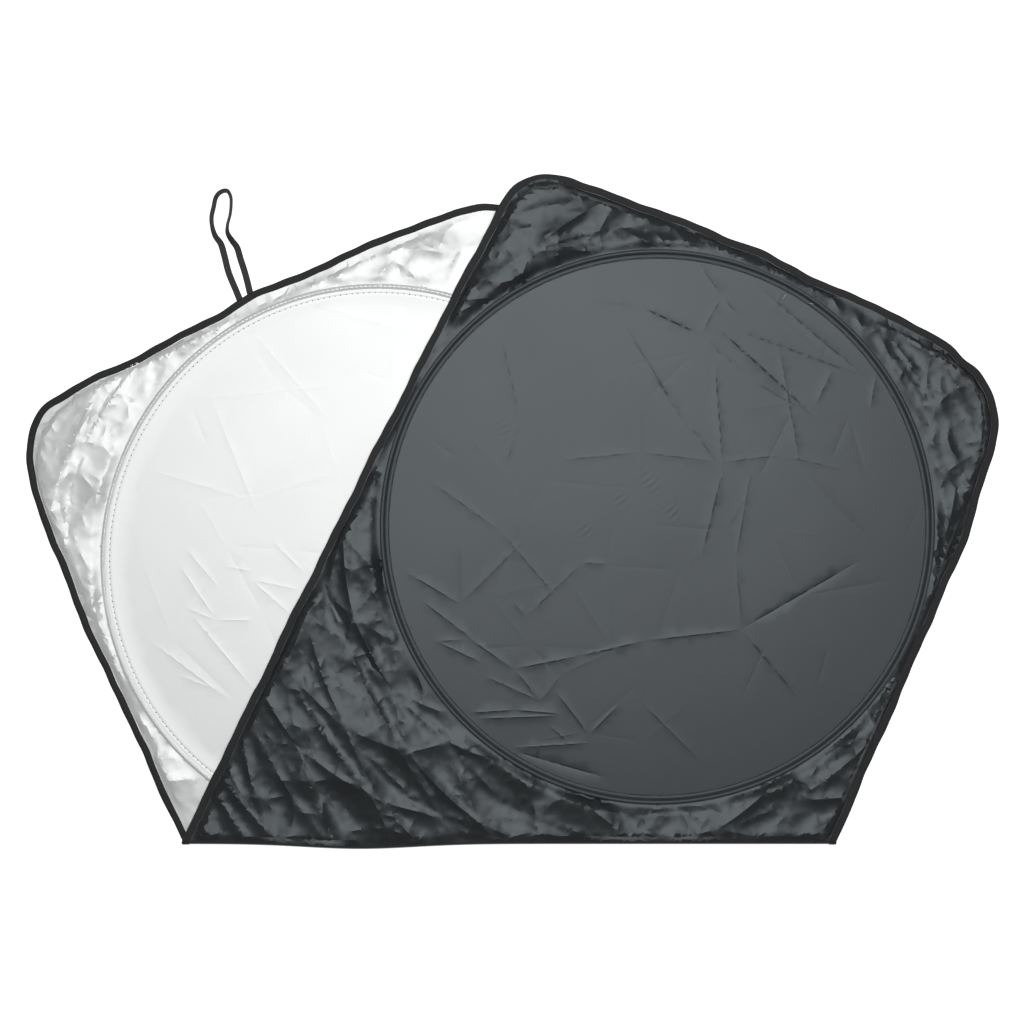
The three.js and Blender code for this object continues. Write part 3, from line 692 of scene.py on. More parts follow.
def scattered_creases(half, pitch, most):
    """Creases left by rolling up: straight lines between nodes of an uneven grid over the disc."""
    made = []
    seed = half["crease_seed"]
    centre = half["centre"]
    reach = int(2 * HOOP_RADIUS / pitch) + 2
    for j in range(-reach, reach + 1):
        for i in range(-2 * reach, 2 * reach + 1):
            x1, y1, lift = grid_node(i, j, pitch, seed)
            if np.hypot(x1, y1) > RING_INNER - SCATTER_MARGIN:
                continue
            for k, (a, b) in enumerate(((1, 0), (0, 1), (-1, 1))):
                chance = spread(i, j, seed + 5 + k)
                if chance > SCATTER_SHARE:
                    continue
                x2, y2, other = grid_node(i + a, j + b, pitch, seed)
                reached = 1 if np.hypot(x2, y2) < RING_INNER - SCATTER_END_MARGIN else SCATTER_CUT
                x2, y2 = mix(x1, x2, reached), mix(y1, y2, reached)
                height = mix(SCATTER_LOW, most, spread(i, j, seed + 8 + k))
                height *= -1 if chance < DENT_SHARE else 1
                start = (x1 + centre[0], y1 + centre[1])
                made.append((*start, x2 + centre[0], y2 + centre[1], height, SCATTER_WIDTH))
    return made


UPPER["creases"] += scattered_creases(UPPER, 76, 0.14)
LOWER["creases"] += scattered_creases(LOWER, 92, 0.13)


def hexagons(low, high, step, seed):
    """Points of a three-way grid over a box, each a little off its place."""
    rows = int((high[1] - low[1]) / (step * ROW_SHARE)) + 2
    columns = int((high[0] - low[0]) / step) + 2
    j, i = np.meshgrid(np.arange(rows), np.arange(columns), indexing="ij")
    x = low[0] + (i + 0.5 * (j % 2) + 0.3 * (spread(i, j, seed) - 0.5)) * step
    y = low[1] + (j + 0.3 * (spread(i, j, seed + 1) - 0.5)) * step * ROW_SHARE
    return np.stack([x.ravel(), y.ravel()], axis=1)


def ring(centre, radius, count):
    return centre + radius * directions(whole_turn(count))


def inset(line, distance):
    """A line beside an edge that runs anticlockwise, on its inner side."""
    return line + distance * left_of(unit(np.gradient(line, axis=0)))


def hidden(points, half):
    """Where nothing shows from above: the lower half under the upper one."""
    if half is UPPER:
        return np.zeros(len(points), dtype=bool)
    return depth_inside(UPPER_EDGE, points) > HIDDEN_DEPTH


def apart(points, others, distance):
    """Those points that lie further than a distance from the others."""
    tree = kdtree.KDTree(len(others))
    for i, (x, y) in enumerate(others):
        tree.insert((x, y, 0), i)
    tree.balance()
    return points[[tree.find((x, y, 0))[2] > distance for x, y in points]]


def lay_points(half, fold_x):
    """Points of one half, with its border first: the free edge, then the fold line from left to right."""
    edge = respaced(half["line"], FINE_EDGE_STEP)
    fold = np.stack([fold_x, fold_line(fold_x)], axis=1)
    border = np.concatenate([edge, fold])
    low, high = border.min(axis=0), border.max(axis=0)
    parts = [border]

    def within(points, margin, low_reach, high_reach):
        away = far_from(half["centre"], points)
        inside = depth_inside(half["edge"], points, closed=False) > margin
        inside &= points[:, 1] - fold_line(points[:, 0]) > FOLD_CLEAR
        return points[inside & (away > low_reach) & (away < high_reach)]

    parts.append(within(inset(edge[1:-1], ROW_INSET), ROW_CLEAR, 0, math.inf))
    margin = ROW_INSET + RING_GAP
    ridges = within(crease_points(half, low, high), margin, RING_OUTER + RING_GAP, math.inf)
    ridges = ridges[~hidden(ridges, half)]
    grid = within(hexagons(low, high, SLACK_STEP, half["seed"]), margin, RING_OUTER + GRID_GAP, math.inf)
    grid = grid[~hidden(grid, half)]
    parts += [ridges, apart(grid, ridges, RIDGE_CLEAR)]
    if half is LOWER:
        coarse = within(hexagons(low, high, HIDDEN_STEP, 9), margin, RING_OUTER + HIDDEN_GAP, math.inf)
        parts.append(coarse[hidden(coarse, half)])
    rings = [(RING_OUTER, RING_POINTS), (HOOP_RADIUS, 360), (RING_INNER, RING_POINTS)]
    rings += [(RING_INNER - DISC_CALM, 300), (RING_INNER - DISC_SAG_RUN, 200)]
    parts += [ring(half["centre"], radius, count) for radius, count in rings]
    if half is LOWER:
        fine = [HOOP_RADIUS + off for off in RIDGE_ROWS] + [SEAM_RADIUS + off for off in SEAM_ROWS]
        fine = np.concatenate([ring(half["centre"], radius, RING_POINTS) for radius in fine])
        parts.append(fine[~hidden(fine, half)])
    lines = []
    for x1, y1, x2, y2, height, width in half["creases"]:
        start, end = np.array([x1, y1]), np.array([x2, y2])
        along = end - start
        across = left_of(along) / np.linalg.norm(along)
        steps = np.linspace(0, 1, int(np.linalg.norm(along) / CREASE_STEP) + 2)[:, None]
        for off in CREASE_ROWS:
            lines.append(start + along * steps + across * off * width / 2)
    for x, y, degrees, length in half["ripples"]:
        reach = length / 2
        patch = hexagons((x - reach, y - reach), (x + reach, y + reach), RIPPLE_STEP, 5)
        lines.append(patch[far_from((x, y), patch) < reach])
    lines = within(np.concatenate(lines), ROW_INSET, 0, RING_INNER - CREASE_MARGIN)
    lines = lines[np.unique(np.floor(lines / CREASE_CLEAR).astype(int), axis=0, return_index=True)[1]]
    disc = within(hexagons(low, high, DISC_STEP, 7), ROW_INSET, 0, RING_INNER - DISC_MARGIN)
    parts += [lines, apart(disc, lines, DISC_CLEAR)]
    return np.concatenate(parts), len(edge), len(fold)


def triangulated(points, border_count):
    """Triangles of a border and the points inside it, anticlockwise, with the points that they use."""
    found = delaunay_2d_cdt([Vector(p) for p in points], [], [list(range(border_count))], 1, 1e-4)
    spots = np.array([tuple(v) for v in found[0]])
    faces = np.array([f for f in found[2] if len(f) == 3], dtype=int)
    a, b, c = spots[faces[:, 0]], spots[faces[:, 1]], spots[faces[:, 2]]
    turned = (b[:, 0] - a[:, 0]) * (c[:, 1] - a[:, 1]) - (b[:, 1] - a[:, 1]) * (c[:, 0] - a[:, 0]) < 0
    faces[turned] = faces[turned][:, ::-1]
    return spots, faces, found[3]


def new_object(name, data):
    thing = bpy.data.objects.new(name, data)
    bpy.context.scene.collection.objects.link(thing)
    return thing


def make_mesh(name, points, faces, materials, face_slots=None, sharp=None):
    """A smooth mesh object of points in the sheet's own millimetres, with creases past a sharp angle."""
    mesh = bpy.data.meshes.new(name)
    placed = (np.asarray(points) + SHIFT) * MM
    placed[:, 2] = np.maximum(placed[:, 2], 0)
    mesh.from_pydata(placed.tolist(), [], [list(map(int, f)) for f in faces])
    for material in materials:
        mesh.materials.append(material)
    if face_slots is not None:
        mesh.polygons.foreach_set("material_index", np.asarray(face_slots, dtype=np.int32))
    mesh.polygons.foreach_set("use_smooth", np.full(len(mesh.polygons), True))
    mesh.validate()
    mesh.update()
    if sharp:
        mesh.set_sharp_from_angle(angle=math.radians(sharp))
    return new_object(name, mesh)


def vertex_normals(points, faces):
    a, b, c = points[faces[:, 0]], points[faces[:, 1]], points[faces[:, 2]]
    flat = np.cross(b - a, c - a)
    normals = np.zeros_like(points)
    for k in range(3):
        np.add.at(normals, faces[:, k], flat)
    return unit(normals)


def lay_half(half, fold_x):
    """One half of the middle surface: points in space, faces, and where its border points are."""
    flat, edge_count, fold_count = lay_points(half, fold_x)
    border_count = edge_count + fold_count
    spots, faces, origin = triangulated(flat, border_count)
    height = sheet_height(spots, half)
    first = {}
    for new, sources in enumerate(origin):
        for source in sources:
            first.setdefault(source, new)
    border = [first[i] for i in range(border_count)]
    edge_ids = border[:edge_count]
    fold_ids = [edge_ids[-1]] + border[edge_count:] + [edge_ids[0]]
    height[fold_ids] = half["fold_height"]
    return np.column_stack([spots, height]), faces, edge_ids, fold_ids


def lay_sheet():
    """The whole middle surface, joined round the bend, with its faces turned to the silver side.

    With it come its border, and where along that border the upper half starts.
    """
    count = int(FOLD_LENGTH / FINE_EDGE_STEP)
    fold_x = np.linspace(FOLD_LEFT[0], FOLD_RIGHT[0], count + 1)[1:-1]
    low_points, low_faces, low_edge, low_fold = lay_half(LOWER, fold_x)
    high_points, high_faces, high_edge, high_fold = lay_half(UPPER, fold_x)
    start = len(low_points)
    points = [low_points, high_points]
    faces = [low_faces, high_faces[:, ::-1] + start]
    rows = [np.array(low_fold)]
    total = start + len(high_points)
    for step in range(1, BEND_STEPS):
        turn = math.pi * step / BEND_STEPS
        row = low_points[low_fold].copy()
        row[:, 1] -= BEND_RADIUS * math.sin(turn)
        row[:, 2] += BEND_RADIUS * (1 - math.cos(turn))
        points.append(row)
        rows.append(np.arange(total, total + len(row)))
        total += len(row)
    rows.append(np.array(high_fold) + start)
    for a, b in zip(rows, rows[1:]):
        faces.append(np.stack([a[:-1], b[:-1], b[1:]], axis=1))
        faces.append(np.stack([a[:-1], b[1:], a[1:]], axis=1))
    bends = rows[1:-1]
    loop = list(low_edge)
    loop += [int(row[0]) for row in bends]
    loop += [i + start for i in reversed(high_edge)]
    loop += [int(row[-1]) for row in reversed(bends)]
    return np.concatenate(points), np.concatenate(faces), loop, len(low_edge) + len(bends) // 2


def make_cloth(sheet, materials):
    points, faces, loop, upper_from = sheet
    normals = vertex_normals(points, faces)
    count = len(points)
    rim = []
    for a, b in zip(loop, loop[1:] + loop[:1]):
        rim.append((b, a, a + count))
        rim.append((b, a + count, b + count))
    skin = np.concatenate([points + normals * HALF_CLOTH, points - normals * HALF_CLOTH])
    all_faces = np.concatenate([faces, faces[:, ::-1] + count, np.array(rim)])
    slots = np.concatenate([np.zeros(len(faces)), np.ones(len(faces) + len(rim))])
    return make_mesh("shade_cloth", skin, all_faces, materials, slots, sharp=15)


def sheet_border(sheet):
    """The border: its points, the ways along it and out of the cloth, and the face's normal."""
    points, faces, loop, upper_from = sheet
    place = points[loop]
    along = unit(np.roll(place, -1, axis=0) - np.roll(place, 1, axis=0))
    sideways = np.stack([along[:, 1], -along[:, 0], np.zeros(len(place))], axis=1)
    sideways[upper_from:] *= -1
    fold_way = np.sign(place[:, 0] - FOLD_X)[:, None] * np.array([[1.0, 0.0, 0.0]])
    near_fold = 1 - smooth(place[:, 1] - fold_line(place[:, 0]), 0, FOLD_TURN_RUN)[:, None]
    outward = unit(mix(sideways, fold_way, near_fold))
    return place, along, outward, unit(np.cross(outward, along))


def resampled(values, run, at):
    return np.stack([np.interp(at, run, values[:, k], period=run[-1]) for k in range(3)], axis=1)


def border_stations(sheet, step):
    """The border again, with stations at equal distances."""
    place, along, outward, normal = sheet_border(sheet)
    closed = np.concatenate([place, place[:1]])
    run = run_along(closed)
    at = np.arange(0, run[-1], run[-1] / round(run[-1] / step))
    again = [resampled(np.concatenate([v, v[:1]]), run, at) for v in (place, outward, normal)]
    return at, again[0], unit(again[1]), unit(again[2])


def swept(sections, closed):
    """One skin over sections of equal point count."""
    count, size = sections.shape[:2]
    i, j = np.meshgrid(np.arange(count if closed else count - 1), np.arange(size), indexing="ij")
    a = i * size + j
    b = ((i + 1) % count) * size + j
    c = ((i + 1) % count) * size + (j + 1) % size
    d = i * size + (j + 1) % size
    faces = [tuple(f) for f in np.stack([a, b, c, d], axis=-1).reshape(-1, 4)]
    if not closed:
        faces.append(tuple(range(size)))
        faces.append(tuple(range((count - 1) * size, count * size))[::-1])
    points = sections.reshape(-1, 3)
    corners = np.array([f[:3] for f in faces])
    volume = np.sum(np.cross(points[corners[:, 0]], points[corners[:, 1]]) * points[corners[:, 2]])
    return points, faces if volume > 0 else [f[::-1] for f in faces]


def make_edge_tape(sheet, material):
    """The binding: a tape folded over the edge, drawn in a little by its stitches."""
    at, place, outward, normal = border_stations(sheet, TAPE_STEP)
    width = BINDING_WIDTH + BINDING_UNEVEN * ripple(at, BINDING_UNEVEN_PITCH, 1.0)
    leg = [(1.0, 0.0, 0.3), (0.88, 0.12, 0.3), (BINDING_SEAM, 0.0, 0.1), (0.6, 0.25, 0.24)]
    leg += [(0.35, 0.35, 0.2), (0.12, 0.2, 0.08), (0.0, 0.0, 0.0)]
    profile = [(-share, BINDING_OUTER + crown, pucker) for share, crown, pucker in leg]
    turn = [math.radians(angle) for angle in (60, 30, 0, -30, -60)]
    reach = (SEAM_GAP + TAPE_THICKNESS) / BINDING_WIDTH
    profile += [(reach * math.cos(a), BINDING_OUTER * math.sin(a), 0.0) for a in turn]
    under = [(-share, -BINDING_OUTER - 0.3 * crown, -0.5 * pucker) for share, crown, pucker in leg]
    profile += under[::-1]
    inner = [(-1.0, BINDING_INNER, 0.0), (-0.5, BINDING_INNER, 0.0), (0.0, BINDING_INNER, 0.0)]
    profile += [(out, -up, 0.0) for out, up, pucker in inner]
    profile += [(SEAM_GAP / BINDING_WIDTH, 0.0, 0.0)]
    profile += inner[::-1]
    rows = []
    for out, up, pucker in profile:
        raised = up + pucker * ripple(at, TAPE_PUCKER_PITCH, 3 * np.sign(up))
        pinched = SEAM_PINCH * np.sign(up) if out == -BINDING_SEAM else 0
        rows.append(place + outward * (width * out)[:, None] + normal * (raised - pinched)[:, None])
    points, faces = swept(np.stack(rows, axis=1), closed=True)
    return make_mesh("edge_tape", points, faces, [material])


def ring_place(half, radius, turn, lift):
    """Points over a half's hoop: at a radius and an angle, lifted off the plane of the hoop."""
    flat = half["centre"] + (radius + 0 * turn)[:, None] * directions(turn)
    return np.column_stack([flat, half["plane"](flat) + lift])


def make_casing(name, half, side, material):
    """A tape folded round the wire, with both its edges in one seam on the inner side."""
    turn = whole_turn(CASING_STATIONS)
    run = turn * HOOP_RADIUS
    flange = CASING_FLANGE
    crown = CHANNEL_RADIUS - TAPE_THICKNESS
    ply = TAPE_THICKNESS + SEAM_GAP
    wall = CASING_BASE + ply + TAPE_THICKNESS
    outer = CASING_SHOULDER + CASING_RUN_IN
    section = [
        (-flange, CASING_BASE), (0, CASING_BASE), (CASING_SHOULDER, CASING_BASE),
        (CHANNEL_RADIUS, WIRE_LIFT - 1.2), (CHANNEL_RADIUS + CASING_REACH, WIRE_LIFT),
        (CHANNEL_RADIUS + 0.3, WIRE_LIFT + 1.2), (CASING_SHOULDER, CASING_HEIGHT - 0.25), (0, CASING_HEIGHT),
        (-crown, CASING_HEIGHT - 0.2), (-0.5 * (crown + outer), 0.5 * (CASING_HEIGHT + wall)),
        (-outer, wall - 0.25), (-outer - 0.9, wall + 0.3), (-0.5 * (outer + flange) - 0.4, wall + 0.45),
        (1.3 - flange, wall + 0.15), (0.7 - flange, wall - 0.2), (-flange, wall + 0.1),
        (-flange, CASING_BASE + ply), (-outer + SEAM_GAP, CASING_BASE + ply),
        (-crown + SEAM_GAP, CASING_HEIGHT - TAPE_THICKNESS),
        (CASING_SHOULDER - SEAM_GAP, CASING_HEIGHT - TAPE_THICKNESS),
        (CHANNEL_RADIUS + CASING_REACH - TAPE_THICKNESS, WIRE_LIFT),
        (CASING_SHOULDER - SEAM_GAP, CASING_BASE + TAPE_THICKNESS),
        (-flange, CASING_BASE + TAPE_THICKNESS),
    ]
    flange_face = range(9, 16)
    rows = []
    for k, (out, up) in enumerate(section):
        pucker = (FLANGE_PUCKER if k in flange_face else 0) * ripple(run, FLANGE_PUCKER_PITCH, k * 0.2)
        edge = FLANGE_WAVER * ripple(run, FLANGE_WAVER_PITCH, 1.0) if out == -flange else 0
        rows.append(ring_place(half, HOOP_RADIUS + out + edge, turn, side * (up + pucker)))
    points, faces = swept(np.stack(rows, axis=1), closed=True)
    return make_mesh(name, points, faces, [material], sharp=50)


def smooth_route(route, count):
    """A centripetal curve through every point of a route, with stations at equal distances."""
    ends = np.concatenate([[2 * route[0] - route[1]], route, [2 * route[-1] - route[-2]]])
    line = []
    for a, b, c, d in zip(ends, ends[1:], ends[2:], ends[3:]):
        gaps = [math.sqrt(np.linalg.norm(q - p)) for p, q in ((a, b), (b, c), (c, d))]
        knots = np.concatenate([[0], np.cumsum(gaps)])
        t = np.linspace(knots[1], knots[2], 24, endpoint=False)[:, None]

        def between(p, q, low, high):
            return ((high - t) * p + (t - low) * q) / (high - low)

        ab, bc, cd = between(a, b, *knots[:2]), between(b, c, *knots[1:3]), between(c, d, *knots[2:])
        abc, bcd = between(ab, bc, knots[0], knots[2]), between(bc, cd, knots[1], knots[3])
        line.append(between(abc, bcd, knots[1], knots[2]))
    line = np.concatenate(line + [route[-1:]])
    return respaced(line, np.linalg.norm(np.diff(line, axis=0), axis=1).sum() / count)


def make_strap(material):
    """The ribbed elastic loop: flat beside the binding, and rolled on to its edge round the far end."""
    laid = STRAP_ROOT + STRAP_ROUTE[:, :1] * STRAP_ALONG + STRAP_ROUTE[:, 1:] * STRAP_OUT
    low, high = laid[:, 1].min(), laid[:, 1].max()
    line = smooth_route(laid, STRAP_STEPS)
    along = unit(np.gradient(line, axis=0))
    roll = STRAP_ROLL * smooth(line[:, 1], mix(low, high, ROLL_START), mix(low, high, ROLL_END))
    flat = np.stack([-along[:, 1], along[:, 0], np.zeros(len(line))], axis=1)
    across = flat * np.cos(roll)[:, None] + np.stack([0 * roll, 0 * roll, np.sin(roll)], axis=1)
    forward = np.column_stack([along, np.zeros(len(line))])
    face = unit(np.cross(across, forward))
    lift = STRAP_WIDTH / 2 * np.sin(roll) + STRAP_THICKNESS / 2 * np.cos(roll) + REST_GAP / 2
    middle = np.column_stack([line, lift])
    widths = np.linspace(-1, 1, 4 * STRAP_RIBS + 1)
    rise = 1 - RIB_DEPTH * (0.5 - 0.5 * np.cos(widths * math.pi * STRAP_RIBS))
    rise[[0, -1]] = SELVEDGE
    rows = []
    for side in (-1, 1):
        for share, height in list(zip(widths, rise))[::-side]:
            beside = middle + across * share * STRAP_WIDTH / 2
            rows.append(beside + face * side * height * STRAP_THICKNESS / 2)
    points, faces = swept(np.stack(rows, axis=1), closed=False)
    return make_mesh("elastic_strap", points, faces, [material], sharp=60)


def make_lines(name, runs):
    """Closed or open runs of points joined by edges, for stitches to follow."""
    points, edges = [], []
    for run, closed in runs:
        first = len(points)
        points += (run + SHIFT).tolist()
        count = len(run)
        edges += [(first + i, first + (i + 1) % count) for i in range(count if closed else count - 1)]
    mesh = bpy.data.meshes.new(name)
    mesh.from_pydata((np.array(points) * MM).tolist(), edges, [])
    return new_object(name, mesh)


def stitch_tree():
    """Stitches along lines: small rounded threads, laid end to end with a gap."""
    tree = bpy.data.node_groups.new("stitch_row", "GeometryNodeTree")
    sockets = [("Lines", "NodeSocketGeometry", None), ("Pitch", "NodeSocketFloat", 0.0032)]
    sockets += [("Stitch Length", "NodeSocketFloat", 0.0022), ("Thread Width", "NodeSocketFloat", 0.0005)]
    sockets += [("Unevenness", "NodeSocketFloat", 0.12), ("Seed", "NodeSocketInt", 4)]
    sockets += [("Material", "NodeSocketMaterial", None)]
    for name, kind, value in sockets:
        made = tree.interface.new_socket(name, in_out="INPUT", socket_type=kind)
        if value is not None:
            made.default_value = value
    tree.interface.new_socket("Stitches", in_out="OUTPUT", socket_type="NodeSocketGeometry")
    given = tree.nodes.new("NodeGroupInput")
    value = {name: Signal(tree, given.outputs[name]) for name, kind, default in sockets}
    curve = add(tree, "GeometryNodeMeshToCurve", None, {0: value["Lines"]})
    along = tree.nodes.new("GeometryNodeCurveToPoints")
    along.mode = "LENGTH"
    tree.links.new(curve.socket, along.inputs["Curve"])
    tree.links.new(value["Pitch"].socket, along.inputs["Length"])
    turned = add(tree, "FunctionNodeAlignRotationToVector", {"axis": "Z"}, {
        "Vector": Signal(tree, along.outputs["Tangent"]),
    })
    ball = add(tree, "GeometryNodeMeshUVSphere", None, {"Segments": 6, "Rings": 4, "Radius": 0.5})
    smoothed = add(tree, "GeometryNodeSetShadeSmooth", None, {"Geometry": ball})
    length = add(tree, "FunctionNodeRandomValue", {"data_type": "FLOAT"}, {
        2: 1 - value["Unevenness"], 3: 1 + value["Unevenness"], "Seed": value["Seed"],
    }, output=1)
    scale = add(tree, "ShaderNodeCombineXYZ", None, {
        0: value["Thread Width"], 1: value["Thread Width"], 2: value["Stitch Length"] * length,
    })
    laid = add(tree, "GeometryNodeInstanceOnPoints", None, {
        "Points": Signal(tree, along.outputs["Points"]),
        "Instance": smoothed,
        "Rotation": turned,
        "Scale": scale,
    })
    real = add(tree, "GeometryNodeRealizeInstances", None, {0: laid})
    finished = add(tree, "GeometryNodeSetMaterial", None, {"Geometry": real, "Material": value["Material"]})
    last = tree.nodes.new("NodeGroupOutput")
    tree.links.new(finished.socket, last.inputs["Stitches"])
    return tree


def make_stitches(name, runs, tree, material, **sizes):
    """Grows the stitches along the runs and keeps the result as a plain mesh."""
    lines = make_lines(name + "_lines", runs)
    modifier = lines.modifiers.new("stitches", "NODES")
    modifier.node_group = tree
    wanted = {"Material": material, **{key.replace("_", " ").title(): value for key, value in sizes.items()}}
    for item in tree.interface.items_tree:
        if item.in_out == "INPUT" and item.name in wanted:
            modifier[item.identifier] = wanted[item.name]
    bpy.context.view_layer.update()
    evaluated = lines.evaluated_get(bpy.context.evaluated_depsgraph_get())
    mesh = bpy.data.meshes.new_from_object(evaluated)
    lines.modifiers.clear()
    bpy.data.objects.remove(lines)
    mesh.name = name
    rest_on_floor(mesh)
    return new_object(name, mesh)


def rest_on_floor(mesh):
    """The floor presses up whatever would lie below it."""
    flat = np.empty(3 * len(mesh.vertices), dtype=np.float32)
    mesh.vertices.foreach_get("co", flat)
    flat[2::3] = np.maximum(flat[2::3], 0)
    mesh.vertices.foreach_set("co", flat)
    mesh.update()


def edge_rows(sheet):
    """Where the binding is sewn: one row on each face, near its inner edge."""
    at, place, outward, normal = border_stations(sheet, TAPE_STEP)
    seam = place - outward * BINDING_WIDTH * BINDING_SEAM
    return [(seam + normal * side * (BINDING_OUTER - SEAM_PINCH + 0.06), True) for side in (1, -1)]


def hoop_rows(half, side):
    """Where a casing is sewn: two rows, along its flange's edge and beside the wire."""
    turn = whole_turn(SEAM_STATIONS)
    wall = CASING_BASE + 2 * TAPE_THICKNESS + SEAM_GAP
    rows = []
    outer = CASING_SHOULDER + CASING_RUN_IN
    for out, lift in ((SEAM_INSET - CASING_FLANGE, wall - 0.05), (-outer, wall - 0.1)):
        rows.append((ring_place(half, HOOP_RADIUS + out, turn, side * lift), True))
    return rows


def silver_row(half, side):
    """The seam of the flange's edge on the silver face, where each stitch pulls a dimple; the grey marks
    laid on it are the thread, with the dimple's shade painted into their colour.
    """
    depth = GROOVE_DEPTH * half["ridge"] - 0.05
    place = ring_place(half, SEAM_RADIUS, whole_turn(SEAM_STATIONS), -side * (HALF_CLOTH - depth))
    return [(place, True)]


def make_thread_tails(material):
    """Two loose ends of thread left where the casing's seam starts."""
    tube = []
    for x, y, turn, length in THREAD_TAILS:
        start = np.array(pixel(x, y))
        line = []
        for t in np.linspace(0, 1, 12):
            bend = polar(turn + THREAD_CURL * t, length * t)
            flat = start + bend
            over = float(UPPER["plane"](flat[None])[0]) + CASING_HEIGHT * 0.45
            line.append((*flat, over + 0.8 * math.sin(3 * t)))
        tube.append(np.array(line))
    points, faces = [], []
    for line in tube:
        along = unit(np.gradient(line, axis=0))
        side = unit(np.cross(along, [0.0, 0.0, 1.0]))
        up = np.cross(side, along)
        turn = np.arange(6) * math.pi / 3
        rows = [line + THREAD_RADIUS * (side * math.cos(a) + up * math.sin(a)) for a in turn]
        spots, more = swept(np.stack(rows, axis=1), closed=False)
        faces += [tuple(int(v) + len(points) for v in f) for f in more]
        points += spots.tolist()
    return make_mesh("thread_tails", points, faces, [material])


class Signal:
    """A shader value with arithmetic: each operator adds its Math node."""

    def __init__(self, tree, socket):
        self.tree = tree
        self.socket = socket

    def math(self, operation, other=None, swap=False):
        values = [self, other] if other is not None else [self]
        if swap:
            values.reverse()
        return add(self.tree, "ShaderNodeMath", {"operation": operation}, dict(enumerate(values)))

    def __add__(self, other):
        return self.math("ADD", other)

    def __mul__(self, other):
        return self.math("MULTIPLY", other)

    def __sub__(self, other):
        return self.math("SUBTRACT", other)

    def __rsub__(self, other):
        return self.math("SUBTRACT", other, swap=True)

    __radd__ = __add__
    __rmul__ = __mul__


def add(tree, kind, settings=None, values=None, output=0):
    """Adds any node: its settings first, then its sockets' values or links."""
    node = tree.nodes.new(kind)
    for key, value in (settings or {}).items():
        setattr(node, key, value)
    for key, value in (values or {}).items():
        if isinstance(value, Signal):
            tree.links.new(value.socket, node.inputs[key])
        else:
            node.inputs[key].default_value = value
    return Signal(tree, node.outputs[output]) if node.outputs else None


def new_material(name, viewport):
    material = bpy.data.materials.new(name)
    material.use_nodes = True
    material.node_tree.nodes.clear()
    material.diffuse_color = (*viewport, 1)
    return material, material.node_tree


def finish_material(tree, values):
    shader = add(tree, "ShaderNodeBsdfPrincipled", None, values)
    add(tree, "ShaderNodeOutputMaterial", None, {0: shader})


def noise(tree, place, scale, detail=2.0):
    return add(tree, "ShaderNodeTexNoise", None, {"Vector": place, "Scale": scale, "Detail": detail})


def blended(tree, factor, first, second):
    return add(
        tree, "ShaderNodeMix", {"data_type": "RGBA"}, {0: factor, 6: (*first, 1), 7: (*second, 1)}, output=2
    )


def bumped(tree, height, strength, distance):
    return add(tree, "ShaderNodeBump", None, {"Strength": strength, "Distance": distance, "Height": height})


def pressed_creases(tree, place, scale):
    """Thin straight grooves between flat cells, as left by folding the cloth."""
    values = {"Vector": place, "Scale": scale}
    far = add(tree, "ShaderNodeTexVoronoi", {"feature": "DISTANCE_TO_EDGE"}, values)
    return far.math("MINIMUM", 0.08)


def weave(tree, place, pitch):
    """Threads that cross at right angles, as the height of the cloth's surface."""
    split = tree.nodes.new("ShaderNodeSeparateXYZ")
    tree.links.new(place.socket, split.inputs[0])
    threads = [(Signal(tree, split.outputs[k]) * (2 * math.pi / pitch)).math("SINE") for k in (0, 1)]
    return threads[0] * threads[1]


def cloth_material(name, viewport, scales, weave_height, colours, rough, values):
    """Coated cloth: pressed creases, a fine weave, and a colour and shine that vary a little."""
    material, tree = new_material(name, viewport)
    place = add(tree, "ShaderNodeTexCoord", output=3)
    cloud = noise(tree, place, scales[0])
    height = pressed_creases(tree, place, scales[1]) * 0.010 + weave(tree, place, CLOTH_WEAVE) * weave_height
    height = height + noise(tree, place, 60.0, 3.0) * 0.002
    finish_material(tree, {
        "Base Color": blended(tree, cloud, *colours),
        "Roughness": cloud * rough[0] + rough[1],
        "Normal": bumped(tree, height, 0.3, 0.05),
        **values,
    })
    return material


def silver_cloth_material():
    colours = (0.86, 0.865, 0.87), (0.89, 0.895, 0.9)
    shine = {"Metallic": 0.55}
    return cloth_material(
        "silver_cloth", (0.75, 0.76, 0.77), (9.0, 30.0), 0.00004, colours, (0.06, 0.5), shine
    )


def black_cloth_material():
    colours = (0.007, 0.008, 0.009), (0.011, 0.012, 0.013)
    shine = {"Specular IOR Level": 0.75, "Specular Tint": COATING_SHINE}
    return cloth_material(
        "black_cloth", (0.02, 0.02, 0.02), (7.0, 34.0), 0.00006, colours, (0.05, 0.38), shine
    )


def tape_material(name, dark, light, pitch, rough=0.5, shine=0.5, tint=TAPE_SHINE):
    """Woven tape, a little uneven in its colour and shine."""
    material, tree = new_material(name, dark)
    place = add(tree, "ShaderNodeTexCoord", output=3)
    cloud = noise(tree, place, 38.0, 3.0)
    height = weave(tree, place, pitch) * 0.00015 + noise(tree, place, 700.0, 2.0) * 0.0003
    finish_material(tree, {
        "Base Color": blended(tree, cloud, dark, light),
        "Roughness": cloud * 0.1 + rough,
        "Specular IOR Level": shine,
        "Specular Tint": tint,
        "Normal": bumped(tree, height, 0.6, 0.5),
    })
    return material


def thread_material(name, dark, light):
    material, tree = new_material(name, dark)
    place = add(tree, "ShaderNodeTexCoord", output=3)
    fuzz = noise(tree, place, 1600.0, 2.0)
    finish_material(tree, {
        "Base Color": blended(tree, fuzz, dark, light),
        "Roughness": 0.62,
        "Normal": bumped(tree, fuzz, 0.4, 0.0002),
    })
    return material


